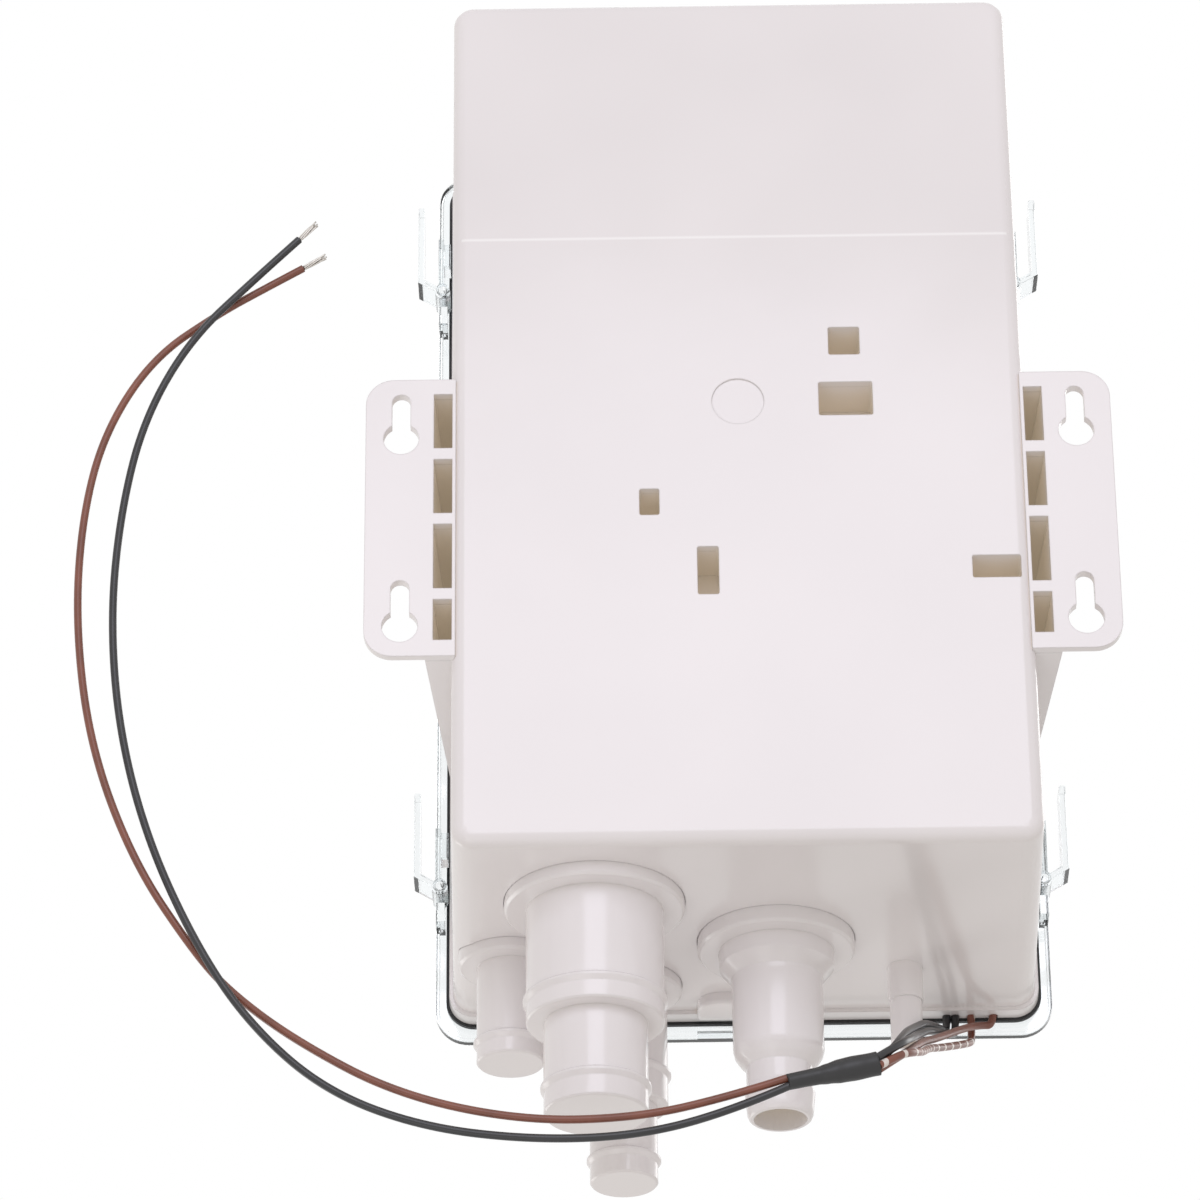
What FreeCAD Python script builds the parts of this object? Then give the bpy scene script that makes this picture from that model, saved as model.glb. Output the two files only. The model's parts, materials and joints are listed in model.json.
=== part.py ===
import FreeCAD, Part
import math
import os

# Shower sump pump in its use pose, in millimetres.
# The origin is the centre of the keyhole pattern on the underside, Z is up, the hose ports face -Y.

# Tub: one moulded box, open at the top
floor_half_width = 80.6
floor_front_y = -97.4
floor_crease_y = 95.7
floor_rear_y = 180.3
rear_rise = 4.2
tub_height = 108.5
draft = 0.026
wall = 2.6
floor_thickness = 2.8
corner_radius = 6.0
bottom_radius = 4.0
bead_proud = 1.2
inner_bottom_radius = 0.4
bead_height = 5.0

# Mounting ears with keyholes, and the ribbed buttress over each ear
keyhole_spacing_x = 190.0
keyhole_spacing_y = 60.0
keyhole_radius = 5.0
slot_width = 5.2
slot_travel = 11.8
ear_half_width = 105.0
ear_front_y = -39.5
ear_rear_y = 49.25
ear_thickness = 3.0
ear_corner = 8.0
buttress_foot = 7.4
buttress_height = 84.0
buttress_skin = 2.2
buttress_cells = [(-34.5, -21.7), (-18.2, 2.3), (5.8, 23.2), (26.8, 44.4)]

# Cored bosses on the floor: (x low, x high, y low, y high) of the pocket below each one
pocket_depth = 17.0
boss_skin = 1.9
boss_top = 24.0
pocket_rear = (-34.9, -26.0, 55.8, 64.9)
pocket_clip = (-38.1, -22.8, 35.9, 46.8)
pocket_front_clip = (22.6, 28.2, 4.3, 12.7)
pocket_hose = (6.3, 12.3, -21.2, -6.0)
pocket_side = (-77.7, -64.1, -17.0, -9.9)
gate_radius = 7.4
gate_depth = 0.5
gate_y = 40.9

# Clearances used between pieces
running_gap = 0.3
glue_gap = 0.05
shaft_gap = 0.05

# Hose ports in the front wall: (x, z) of each axis
port_b_below_rim = 20.9
port_a = (42.1, (tub_height - 36.5) / 2)
port_b = (34.9, tub_height - port_b_below_rim)
port_c = (66.1, (tub_height + 32.3) / 2)
port_out = (-8.45, 60.5)
port_vent = (-45.0, 78.3)
vent_socket = 5.0
vent_radius = 4.55
vent_bore = 2.9
vent_root_radius = 4.35
vent_inlet_bore = 3.4
vent_collar_y = -110.0
vent_seat = 8.0
vent_end_y = -123.0
port_wall = 2.0
port_ring = 0.9
seat_y = -97.3
seat_boss = 3.6

# Inlet chamber: divider wall, guide ribs and the slide-in filter screen
divider_x = 14.6
divider_top = 96.0
screen_y = -45.0
screen_thickness = 3.0
screen_height = 92.0
screen_frame = 5.0
screen_holes = (9, 14)
screen_hole = 3.4
guide_depth = 3.6
guide_rib = 1.8

screen_mesh_thickness = 1.0

# Flap valve in the outlet fitting
port_bore_out = 7.4
valve_y = -103.0
valve_radius = 9.0
valve_pin_radius = 0.8
hose_tail_end = -70.0

# Lid, gasket and latches
gasket_thickness = 1.5
gasket_width = 4.6
gasket_proud = 0.9
lid_overhang_x = 5.1
lid_front_y = -106.7
lid_rear_y = 187.3
lid_flange = 2.0
lid_lip = 1.1
lid_lip_drop = 1.3
lid_corner = 9.5
lid_panel_inset = 13.0
lid_panel_rise = 8.0
lid_panel_wall = 2.0
lid_tab_width = 27.0
latch_pivots = [139.6, -62.4]
latch_pivot_x = 87.2
latch_bar_x = 93.8
latch_bar = 1.9
latch_bar_length = 30.4
latch_leg_length = 19.0
latch_low = tub_height - 10.0
latch_pin_radius = 1.3

# Pump cartridge
pump_x = 12.7
pump_y = 47.2
base_radius = 33.0
base_height = 17.2
base_slots = 26
base_cuts = [0, 2, 4, 6, 8, 11, 13, 15, 17, 19, 21, 24]
volute_cuts = [10.0, 55.0, 100.0, 145.0, 190.0, 235.0, 280.0, 325.0]
volute_radius = 29.0
volute_height = 24.0
discharge_z = 33.0
housing_radius = 27.5
housing_height = 44.0
cap_height = 12.0
impeller_radius = 19.0
impeller_vanes = 6
shaft_radius = 1.6
motor_radius = 17.5
motor_height = 38.0

seal_radius = 6.0
o_ring_radius = 24.5
bearing_radius = 5.0
housing_ribs = 18
gland_offset = (-8.0, -8.0)
gland_height = 1.6
volute_tip_y = -3.5
volute_barb_y = 19.0
hose_root_gap = 0.3
tab_angles = [140.0, 320.0]
tab_cut = 7.6
tab_radius = 32.0
tab_pin_radius = 0.7
tab_pivot_z = 14.0

# Discharge hose and its clamps
clamp_ys = [9.0, -81.0]
hose_inner = 9.7
hose_wall = 2.5
hose_bend = 32.0

# Float switch
float_width = 24.0
float_length = 52.0
float_height = 16.0
float_pivot_u = 14.0
float_pivot_h = 10.0
float_pin_radius = 1.2
screw_radius = 1.5
screw_head = 3.4

# Wiring: the notches in the front rim, one for each wire
wire_notches = [-58.0, -60.5, -65.0, -71.4]
wire_radius = 1.1
lead_z = 1.15
strand_radius = 0.75
strand_length = 7.5

os.makedirs("parts", exist_ok=True)
V = FreeCAD.Vector


def box(x0, x1, y0, y1, z0, z1):
    return Part.makeBox(x1 - x0, y1 - y0, z1 - z0, V(x0, y0, z0))


def post(radius, x, y, z0, z1):
    return Part.makeCylinder(radius, z1 - z0, V(x, y, z0))


def rod_x(radius, x0, x1, y, z):
    return Part.makeCylinder(radius, x1 - x0, V(x0, y, z), V(1, 0, 0))


def rod_y(radius, y0, y1, x, z):
    return Part.makeCylinder(radius, y1 - y0, V(x, y0, z), V(0, 1, 0))


def rounded_box(x0, x1, y0, y1, z0, z1, radius):
    body = box(x0, x1, y0, y1, z0, z1)
    upright = [e for e in body.Edges if abs(e.Vertexes[0].Z - e.Vertexes[-1].Z) > 1e-6]
    return body.makeFillet(radius, upright)


def prism(points, direction):
    wire = Part.makePolygon([V(*p) for p in points] + [V(*points[0])])
    return Part.Face(wire).extrude(V(*direction))


def turned(profile, x, z):
    """Revolve (y, radius) points about the line through (x, z) along Y."""
    wire = Part.makePolygon([V(x + r, y, z) for y, r in profile] + [V(x + profile[0][1], profile[0][0], z)])
    return Part.Face(wire).revolve(V(x, 0, z), V(0, 1, 0), 360)


def turned_z(profile, x, y):
    """Revolve (radius, z) points about the upright line through (x, y)."""
    wire = Part.makePolygon([V(x + r, y, z) for r, z in profile] + [V(x + profile[0][0], y, profile[0][1])])
    return Part.Face(wire).revolve(V(x, y, 0), V(0, 0, 1), 360)


def fuse(pieces):
    body = pieces[0]
    for piece in pieces[1:]:
        body = body.fuse(piece)
    return body.removeSplitter()


def sectors(body, x, y, angles):
    """The same body in wedges that touch at the upright line through (x, y), so a ring stays open inside."""
    reach = 200.0
    wedges = []
    for first, second in zip(angles, angles[1:] + [angles[0] + 360.0]):
        corners = [(x, y, -50.0)]
        for angle in (first, (first + second) / 2, second):
            a = math.radians(angle)
            corners.append((x + reach * math.cos(a), y + reach * math.sin(a), -50.0))
        wedges += body.common(prism(corners, (0, 0, 200.0))).Solids
    return wedges


def save(name, shape):
    shape.exportStep("parts/" + name + ".step")
    print(name, "solids", len(shape.Solids), "volume", round(shape.Volume, 1), "valid", shape.isValid())


def half_width(z):
    return floor_half_width + draft * z


def front_wall(z):
    return floor_front_y - draft * z


def rear_wall(z):
    return floor_rear_y + draft * z


def tub_form(inset, z_low, z_high, corner, bottom):
    """The drafted block of the tub, moved in by inset, with rounded corners and bottom edge."""
    wires = []
    for z in (z_low, z_high):
        w, f, r = half_width(z) - inset, front_wall(z) + inset, rear_wall(z) - inset
        wires.append(Part.makePolygon([V(-w, f, z), V(w, f, z), V(w, r, z), V(-w, r, z), V(-w, f, z)]))
    body = Part.makeLoft(wires, True, True)
    upright = [e for e in body.Edges if abs(e.Vertexes[0].Z - e.Vertexes[-1].Z) > 0.5 * (z_high - z_low)]
    body = body.makeFillet(corner, upright)
    if bottom > 0:
        reach = ear_half_width
        ramp_end = floor_rear_y + 10.0
        rise = rear_rise * (ramp_end - floor_crease_y) / (floor_rear_y - floor_crease_y)
        ramp = prism([(-reach, floor_crease_y, z_low), (-reach, ramp_end, z_low - 1.0),
                      (-reach, ramp_end, z_low + rise)], (2 * reach, 0, 0))
        body = body.cut(ramp)
        low = [e for e in body.Edges
               if max(v.Z for v in e.Vertexes) < z_low + rear_rise + 0.6
               and not all(abs(v.Y - floor_crease_y) < 0.01 for v in e.Vertexes)]
        body = body.makeFillet(bottom, low)
    return body


def keyhole(x, y):
    centre = y + slot_travel
    hole = post(keyhole_radius, x, y, -1, ear_thickness + 1)
    slot = box(x - slot_width / 2, x + slot_width / 2, y, centre, -1, ear_thickness + 1)
    return fuse([hole, slot, post(slot_width / 2, x, centre, -1, ear_thickness + 1)])


def buttress(side):
    """Ear plate with the hollow ribbed wedge that carries it, on one side of the tub."""
    foot = floor_half_width + buttress_foot
    root = floor_half_width - 1.0
    top = buttress_height
    wedge = prism([(side * root, ear_front_y, 0), (side * foot, ear_front_y, 0),
                   (side * foot, ear_front_y, ear_thickness),
                   (side * half_width(top), ear_front_y, top), (side * root, ear_front_y, top)],
                  (0, ear_rear_y - ear_front_y, 0))
    x0, x1 = sorted((side * root, side * ear_half_width))
    plate = box(x0, x1, ear_front_y, ear_rear_y, 0, ear_thickness)
    outer = [e for e in plate.Edges
             if abs(e.Vertexes[0].Z - e.Vertexes[-1].Z) > 1
             and abs(abs(e.Vertexes[0].X) - ear_half_width) < 0.01]
    plate = plate.makeFillet(ear_corner, outer)
    rim = [e for e in plate.Edges
           if all(abs(v.Z - ear_thickness) < 0.01 for v in e.Vertexes)
           and not all(abs(abs(v.X) - root) < 0.01 for v in e.Vertexes)]
    plate = plate.makeFillet(0.8, rim)
    body = plate.fuse(wedge)
    inner_foot = foot - buttress_skin
    cell_top = top - 10.0
    for y0, y1 in buttress_cells:
        cell = prism([(side * (half_width(-1) - 0.02), y0, -1), (side * inner_foot, y0, -1),
                      (side * inner_foot, y0, 1),
                      (side * (half_width(cell_top) + 0.3), y0, cell_top),
                      (side * half_width(cell_top), y0, cell_top)], (0, y1 - y0, 0))
        body = body.cut(cell)
    for row in (-0.5, 0.5):
        body = body.cut(keyhole(side * keyhole_spacing_x / 2, row * keyhole_spacing_y))
    return body


def boss(pocket, top):
    x0, x1, y0, y1 = pocket
    s = boss_skin
    return rounded_box(x0 - s, x1 + s, y0 - s, y1 + s, 0, top, 1.2)


def clip_post(x, y, toward_x, toward_y):
    """Snap hook that stands on a boss and grips the rim of the strainer base."""
    reach = math.hypot(toward_x - x, toward_y - y)
    ux, uy = (toward_x - x) / reach, (toward_y - y) / reach
    face = reach - base_radius - running_gap
    rim = floor_thickness + base_height
    section = [(face - 5.0, rim - 4.0), (face, rim - 4.0), (face, rim + running_gap),
               (face + 1.6, rim + running_gap), (face, rim + 5.0), (face - 5.0, rim + 5.0)]
    points = [(x + ux * d + uy * 3.5, y + uy * d - ux * 3.5, z) for d, z in section]
    return prism(points, (-uy * 7.0, ux * 7.0, 0))


def port_seats():
    """Flange radius, spigot radius and axis of every fitting in the front wall."""
    return [(port_a, 25.0, 19.6), (port_b, 17.0, 13.6), (port_c, 14.7, 10.4),
            (port_out, 22.0, 16.0)]


def tub_openings():
    """Everything that is cut out of the moulding: port seats, cored pockets, screw holes and wire notches."""
    cuts = []
    for (x, z), flange, spigot in port_seats():
        cuts.append(rod_y(flange + 0.15, front_wall(tub_height) - 5.0, seat_y, x, z))
        cuts.append(rod_y(spigot + glue_gap, seat_y - 1.0, seat_y + 12.0, x, z))
    for x0, x1, y0, y1 in (pocket_rear, pocket_clip, pocket_front_clip, pocket_hose, pocket_side):
        cuts.append(rounded_box(x0, x1, y0, y1, -1, pocket_depth, 0.6))
    for x0, x1, y0, y1 in (pocket_rear, pocket_side):
        cuts.append(post(screw_radius + glue_gap, (x0 + x1) / 2, (y0 + y1) / 2, boss_top - 4.2, boss_top + 1))
    cuts.append(post(gate_radius, 0, gate_y, -1, gate_depth))
    x, z = port_vent
    cuts.append(rod_y(vent_root_radius + glue_gap, vent_collar_y - 1.0, vent_collar_y + vent_seat, x, z))
    cuts.append(rod_y(vent_inlet_bore, vent_collar_y - 1.0, front_wall(z) + 10.0, x, z))
    r, z = wire_radius + 0.1, tub_height - wire_radius - 0.15
    y0, y1 = front_wall(tub_height) - 4.0, front_wall(0) + wall + 2.0
    for x in wire_notches:
        cuts.append(rod_y(r, y0, y1, x, z).fuse(box(x - r, x + r, y0, y1, z, tub_height + 1.0)))
    return cuts


def tub_walls(shell):
    """The open box as two floor plates and four walls that touch face to face."""
    side = half_width(0) - wall - inner_bottom_radius
    front = front_wall(0) + wall + inner_bottom_radius
    rear = rear_wall(0) - wall - inner_bottom_radius
    far, top = 400.0, tub_height + 20.0
    rise = rear_rise * (rear - floor_crease_y) / (floor_rear_y - floor_crease_y)
    floor_block = prism([(-side, front, -5), (-side, rear, -5), (-side, rear, floor_thickness + rise),
                         (-side, floor_crease_y, floor_thickness), (-side, front, floor_thickness)], (2 * side, 0, 0))
    plates = shell.common(floor_block)
    ring = shell.cut(floor_block)
    return [plates.common(box(-far, far, -far, floor_crease_y, -5, top)),
            plates.common(box(-far, far, floor_crease_y, far, -5, top)),
            ring.common(box(side, far, -far, far, -5, top)),
            ring.common(box(-far, -side, -far, far, -5, top)),
            ring.common(box(-side, side, -far, 0, -5, top)),
            ring.common(box(-side, side, 0, far, -5, top))]


def make_tub():
    """One moulding, saved as plain solids that touch face to face: floor, walls, seats, bosses, ribs and ears."""
    outer = tub_form(0, 0, tub_height, corner_radius, bottom_radius)
    inner = tub_form(wall, floor_thickness, tub_height + 1.0, corner_radius - wall + 1.0, inner_bottom_radius)
    bead = tub_form(-bead_proud, tub_height - bead_height, tub_height, corner_radius + bead_proud, 0)
    block = outer.fuse(bead)
    pieces = tub_walls(block.cut(inner))
    seats = []
    for (x, z), flange, spigot in port_seats():
        seat = rod_y(flange + 1.5, seat_y, seat_y + seat_boss + wall, x, z).common(inner)
        for other in seats:
            seat = seat.cut(other)
        seats.append(seat)
    bosses = [boss(p, boss_top).common(inner)
              for p in (pocket_rear, pocket_clip, pocket_front_clip, pocket_hose, pocket_side)]
    clip_x = (pocket_front_clip[0] + pocket_front_clip[1]) / 2
    clips = [clip_post(pocket_clip[1] + boss_skin - 3.0, pump_y - 3.0, pump_x, pump_y),
             clip_post(clip_x - 1.0, pocket_front_clip[3], pump_x, pump_y)]
    for number, clip in enumerate(clips):
        for other in bosses:
            clip = clip.cut(other)
        clips[number] = clip
    divider = box(divider_x, divider_x + 2.2, floor_front_y, screen_y + 5.0, 0, divider_top).common(inner)
    for seat in seats:
        divider = divider.cut(seat)
    ribs = [rib.common(inner) for rib in screen_guides()]
    x, z = port_vent
    socket = rod_y(vent_socket, vent_collar_y, front_wall(z) + 1.0, x, z)
    quarter = 2 * vent_socket
    outside = [socket.common(box(x0, x0 + quarter, vent_collar_y - 1.0, front_wall(0), z0, z0 + quarter))
               for x0 in (x - quarter, x) for z0 in (z - quarter, z)]
    outside += [lug(front_wall, -1), lug(rear_wall, 1)]
    for side in (-1, 1):
        ear = buttress(side)
        level = box(-400, 400, -400, 400, -5, ear_thickness)
        outside += [ear.common(level), ear.cut(level)]
    pieces += seats + bosses + clips + [divider] + ribs + [piece.cut(block) for piece in outside]
    cuts = tub_openings()
    solids = []
    for piece in pieces:
        for cut in cuts:
            if piece.BoundBox.intersect(cut.BoundBox):
                piece = piece.cut(cut)
        solids += piece.removeSplitter().Solids
    return Part.Compound(solids)


def screen_guides():
    """Ribs on the divider and on the side wall that the filter screen slides between."""
    ribs = []
    gap = screen_thickness / 2 + running_gap
    for x0, x1 in ((divider_x + 2.2, divider_x + 2.2 + guide_depth), (half_width(0) - wall - guide_depth, 90.0)):
        for side in (-1, 1):
            y0, y1 = sorted((screen_y + side * gap, screen_y + side * (gap + guide_rib)))
            ribs.append(box(x0, x1, y0, y1, 0, divider_top))
    return ribs


def lug(wall_y, side):
    """Rounded catch on the end wall just below the rim, under the lid's centre tab."""
    z0, z1 = tub_height - 16.5, tub_height - bead_height + 0.5
    half = lid_tab_width / 2
    root = wall_y(z0) - side * 1.0
    face = wall_y(z1) + side * 3.0
    y0, y1 = sorted((root, face))
    block = box(-half, half, y0, y1, z0, z1)
    ends = [e for e in block.Edges
            if all(abs(v.Z - z0) < 0.01 for v in e.Vertexes)
            and abs(e.Vertexes[0].X - e.Vertexes[-1].X) < 0.01]
    block = block.makeFillet(7.0, ends)
    front = [e for e in block.Edges
             if all(abs(v.Y - face) < 0.01 for v in e.Vertexes)
             and not all(abs(v.Z - z1) < 0.01 for v in e.Vertexes)]
    return block.makeFillet(1.2, front)


def ring_points(y, radius):
    """Low rounded barb ring at y on a stub of the given radius, front side first."""
    return [(y + 1.3, radius), (y + 0.7, radius + port_ring), (y, radius + port_ring), (y - 1.3, radius)]


def stub_fitting(port, flange, spigot, face_y, stages):
    """Closed stepped hose stub: every stage is (radius, ring y, end y). It is sawn open for the hose."""
    y_in = seat_y + seat_boss + wall
    outer = [(y_in, spigot), (seat_y, spigot), (seat_y, flange), (face_y + 0.8, flange), (face_y, flange - 0.8)]
    inner = [(y_in, stages[0][0] - port_wall)]
    start_y = face_y
    for number, (radius, ring_y, end_y) in enumerate(stages):
        outer.append((start_y, radius))
        outer += ring_points(ring_y, radius)
        outer += [(end_y + 0.5, radius), (end_y, radius - 0.5)]
        inner.append((end_y + port_wall, radius - port_wall))
        if number + 1 < len(stages):
            inner.append((end_y + port_wall, stages[number + 1][0] - port_wall))
        start_y = end_y
    profile = outer + [(start_y, 0)] + [(inner[-1][0], 0)] + inner[::-1]
    return turned(profile, *port)


def make_outlet_fitting():
    """Glued-in outlet: flange, valve chamber, barrel and an open hose barb."""
    chamber = 13.5
    barrel = 12.7
    bore = 10.6
    tip = port_bore_out
    y_in = seat_y + 5.5
    outer = [(y_in, 16.0), (seat_y, 16.0), (seat_y, 22.0), (-102.2, 22.0), (-103.0, 21.2),
             (-103.0, 16.2), (-107.6, 16.0), (-109.5, 14.4), (-111.2, 12.9), (-113.0, barrel),
             (-132.6, barrel), (-134.6, 12.2), (-136.4, 11.0), (-137.6, 9.9), (-138.4, 9.2),
             (-143.6, 9.2), (-145.4, 9.75), (-146.2, 9.75), (-152.0, 9.15), (-153.0, 8.7), (-153.4, 8.2)]
    inner = [(-153.4, tip), (-137.0, tip), (-133.0, bore), (-109.0, bore), (-107.2, chamber), (y_in, chamber)]
    return turned(outer + inner, *port_out)


def make_hose_tail():
    """Inner hose barb, glued into the outlet fitting; its flat front is the valve seat."""
    plug = 13.5 - glue_gap
    barb = hose_inner - 0.6
    outer = [(valve_y, plug), (seat_y + 8.5, plug), (seat_y + 8.5, barb)]
    for ring in (hose_tail_end - 14.0, hose_tail_end - 8.0, hose_tail_end - 2.0):
        outer += [(ring, barb), (ring + 0.4, hose_inner - glue_gap), (ring + 1.8, barb)]
    outer.append((hose_tail_end, barb - 0.2))
    inner = [(hose_tail_end, 7.3), (valve_y, 7.3)]
    body = turned(outer + inner, *port_out)
    x, z = port_out
    pivot_z = z + valve_radius + 1.6
    for side in (-1, 1):
        x0, x1 = sorted((x + side * 4.2, x + side * 6.4))
        ear = box(x0, x1, valve_y - 2.6, valve_y + 0.5, pivot_z - 2.0, pivot_z + 1.0)
        body = body.fuse(ear)
    body = body.cut(rod_x(valve_pin_radius + 0.02, x - 7.0, x + 7.0, valve_y - 1.3, pivot_z))
    return body.removeSplitter()


def make_valve_flap():
    x, z = port_out
    pivot_z = z + valve_radius + 1.6
    disc = rod_y(valve_radius, valve_y - 2.0, valve_y - running_gap, x, z)
    knuckle = rod_x(1.25, x - 3.9, x + 3.9, valve_y - 1.3, pivot_z)
    neck = box(x - 3.9, x + 3.9, valve_y - 2.0, valve_y - running_gap - 0.2, z + valve_radius - 2.5, pivot_z)
    flap = fuse([disc, neck, knuckle])
    return flap.cut(rod_x(valve_pin_radius + shaft_gap, x - 5.0, x + 5.0, valve_y - 1.3, pivot_z))


def make_valve_pin():
    x, z = port_out
    return rod_x(valve_pin_radius, x - 6.4, x + 6.4, valve_y - 1.3, z + valve_radius + 1.6)


def make_vent_nipple():
    x, z = port_vent
    y_in = vent_collar_y + vent_seat
    profile = [(y_in, vent_root_radius), (vent_collar_y, vent_root_radius), (vent_collar_y, vent_radius),
               (vent_end_y + 0.6, vent_radius), (vent_end_y, vent_radius - 0.6),
               (vent_end_y, vent_bore), (y_in, vent_bore)]
    return turned(profile, x, z)


def lid_edge():
    return half_width(tub_height) + lid_overhang_x


def make_gasket():
    z0, z1 = tub_height, tub_height + gasket_thickness
    reach = bead_proud + gasket_proud
    w = half_width(tub_height) + reach
    f, r = front_wall(tub_height) - reach, rear_wall(tub_height) + reach
    outer = rounded_box(-w, w, f, r, z0, z1, corner_radius + reach)
    g = gasket_width
    inner = rounded_box(-w + g, w - g, f + g, r - g, z0 - 1, z1 + 1, corner_radius - 1.5)
    return outer.cut(inner)


def make_lid():
    z0 = tub_height + gasket_thickness
    z1 = z0 + lid_flange
    w = lid_edge()
    f, r = lid_front_y, lid_rear_y
    low = z0 - lid_lip_drop
    block = rounded_box(-w, w, f, r, low, z1, lid_corner)
    top_edges = [e for e in block.Edges if all(abs(v.Z - z1) < 0.01 for v in e.Vertexes)]
    block = block.makeFillet(1.0, top_edges)
    t = lid_lip
    block = block.cut(rounded_box(-w + t, w - t, f + t, r - t, low - 1, z0, lid_corner - t))
    p = lid_panel_inset
    rise = lid_panel_rise
    raised = rounded_box(-w + p, w - p, f + p, r - p, z1 - 0.5, z1 + rise, 12.0)
    edge = [e for e in raised.Edges if all(abs(v.Z - z1 - rise) < 0.01 for v in e.Vertexes)]
    raised = raised.makeFillet(3.0, edge)
    q = lid_panel_wall
    hollow = rounded_box(-w + p + q, w - p - q, f + p + q, r - p - q, z0 - 1, z1 + rise - q, 10.0)
    lid = block.fuse(raised).cut(hollow)
    rib_w = half_width(tub_height) - wall - 0.6
    rib_f, rib_r = front_wall(tub_height) + wall + 0.6, rear_wall(tub_height) - wall - 0.6
    rib = rounded_box(-rib_w, rib_w, rib_f, rib_r, z0 - 3.5, z0 + 0.2, 5.0)
    rib = rib.cut(rounded_box(-rib_w + 1.6, rib_w - 1.6, rib_f + 1.6, rib_r - 1.6, z0 - 5.0, z0 + 1.0, 3.4))
    rib = rib.cut(box(min(wire_notches) - 5, max(wire_notches) + 5, rib_f - 1, rib_f + 3, z0 - 5.0, z0 - 0.1))
    lid = lid.fuse(rib)
    half = lid_tab_width / 2
    for edge_y, side in ((f, -1), (r, 1)):
        y0, y1 = sorted((edge_y - side * 1.8, edge_y))
        tab = box(-half, half, y0, y1, z0 - 5.5, z0 + 0.5)
        sides = [e for e in tab.Edges
                 if all(abs(v.Z - z0 + 5.5) < 0.01 for v in e.Vertexes)
                 and abs(e.Vertexes[0].X - e.Vertexes[-1].X) > 1]
        lid = lid.fuse(tab.makeFillet(0.7, sides))
    for side in (-1, 1):
        for pivot_y in latch_pivots:
            x = side * latch_pivot_x
            pin = post(latch_pin_radius, x, pivot_y, latch_low - 0.8, z0 + 0.2)
            head = post(latch_pin_radius + 0.6, x, pivot_y, latch_low - 2.0, latch_low - 0.8)
            stop_x0, stop_x1 = sorted((side * (latch_pivot_x - 1.4), side * (latch_pivot_x + 1.2)))
            stop = box(stop_x0, stop_x1, pivot_y - 10.0, pivot_y - 4.0, latch_low + 2.0, z0 + 0.2)
            lid = lid.fuse(pin).fuse(head).fuse(stop)
    return lid.removeSplitter()


def make_latch(side, pivot_y):
    """Springy wing: the outer bar is the finger grip, the pad on the inner leg bears on the rim bead."""
    top = tub_height - running_gap
    px = side * latch_pivot_x
    knuckle = post(latch_pin_radius + 1.0, px, pivot_y, latch_low, top)
    link_end = pivot_y + 4.0
    bar_in, bar_out = side * (latch_bar_x - latch_bar / 2), side * (latch_bar_x + latch_bar / 2)
    link = prism([(px, pivot_y - 1.0, latch_low), (bar_out, link_end - 0.4, latch_low),
                  (bar_out, link_end + 1.8, latch_low), (px, pivot_y + 1.0, latch_low)], (0, 0, top - latch_low))
    x0, x1 = sorted((bar_in, bar_out))
    bar = rounded_box(x0, x1, link_end, pivot_y + latch_bar_length, latch_low, top, 0.7)
    leg_x = side * (latch_pivot_x + 0.5)
    x0, x1 = sorted((leg_x - side * 0.8, leg_x + side * 0.8))
    leg = box(x0, x1, pivot_y, pivot_y + latch_leg_length, latch_low, top)
    pad_in = side * (half_width(tub_height) + bead_proud + running_gap)
    x0, x1 = sorted((pad_in, leg_x))
    y0 = pivot_y + latch_leg_length - 8.0
    pad = box(x0, x1, y0, y0 + 8.0, latch_low + 3.0, top)
    wing = fuse([knuckle, link, bar, leg, pad])
    return wing.cut(post(latch_pin_radius + shaft_gap, px, pivot_y, latch_low - 1, top + 1))


def make_screen_frame():
    """Slide-in frame of the filter screen, with a grip at the top."""
    x0 = divider_x + 2.2 + running_gap
    x1 = half_width(0) - wall - running_gap
    t = screen_thickness / 2
    z0 = floor_thickness + running_gap
    z1 = z0 + screen_height
    frame = box(x0, x1, screen_y - t, screen_y + t, z0, z1)
    corner = [e for e in frame.Edges
              if all(abs(v.Z - z0) < 0.01 and abs(v.X - x1) < 0.01 for v in e.Vertexes)]
    frame = frame.makeChamfer(bottom_radius, corner)
    f = screen_frame + guide_depth
    frame = frame.cut(box(x0 + f, x1 - f, screen_y - t - 1, screen_y + t + 1, z0 + screen_frame, z1 - screen_frame))
    groove = screen_mesh_thickness / 2 + glue_gap
    frame = frame.cut(box(x0 + f - 2.0, x1 - f + 2.0, screen_y - groove, screen_y + groove,
                          z0 + screen_frame - 2.0, z1 - screen_frame + 2.0))
    mid = (x0 + x1) / 2
    grip = rounded_box(mid - 12.0, mid + 12.0, screen_y - 4.0, screen_y + 4.0, z1 - 2.5, z1, 2.0)
    return frame.fuse(grip).removeSplitter()


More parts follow.
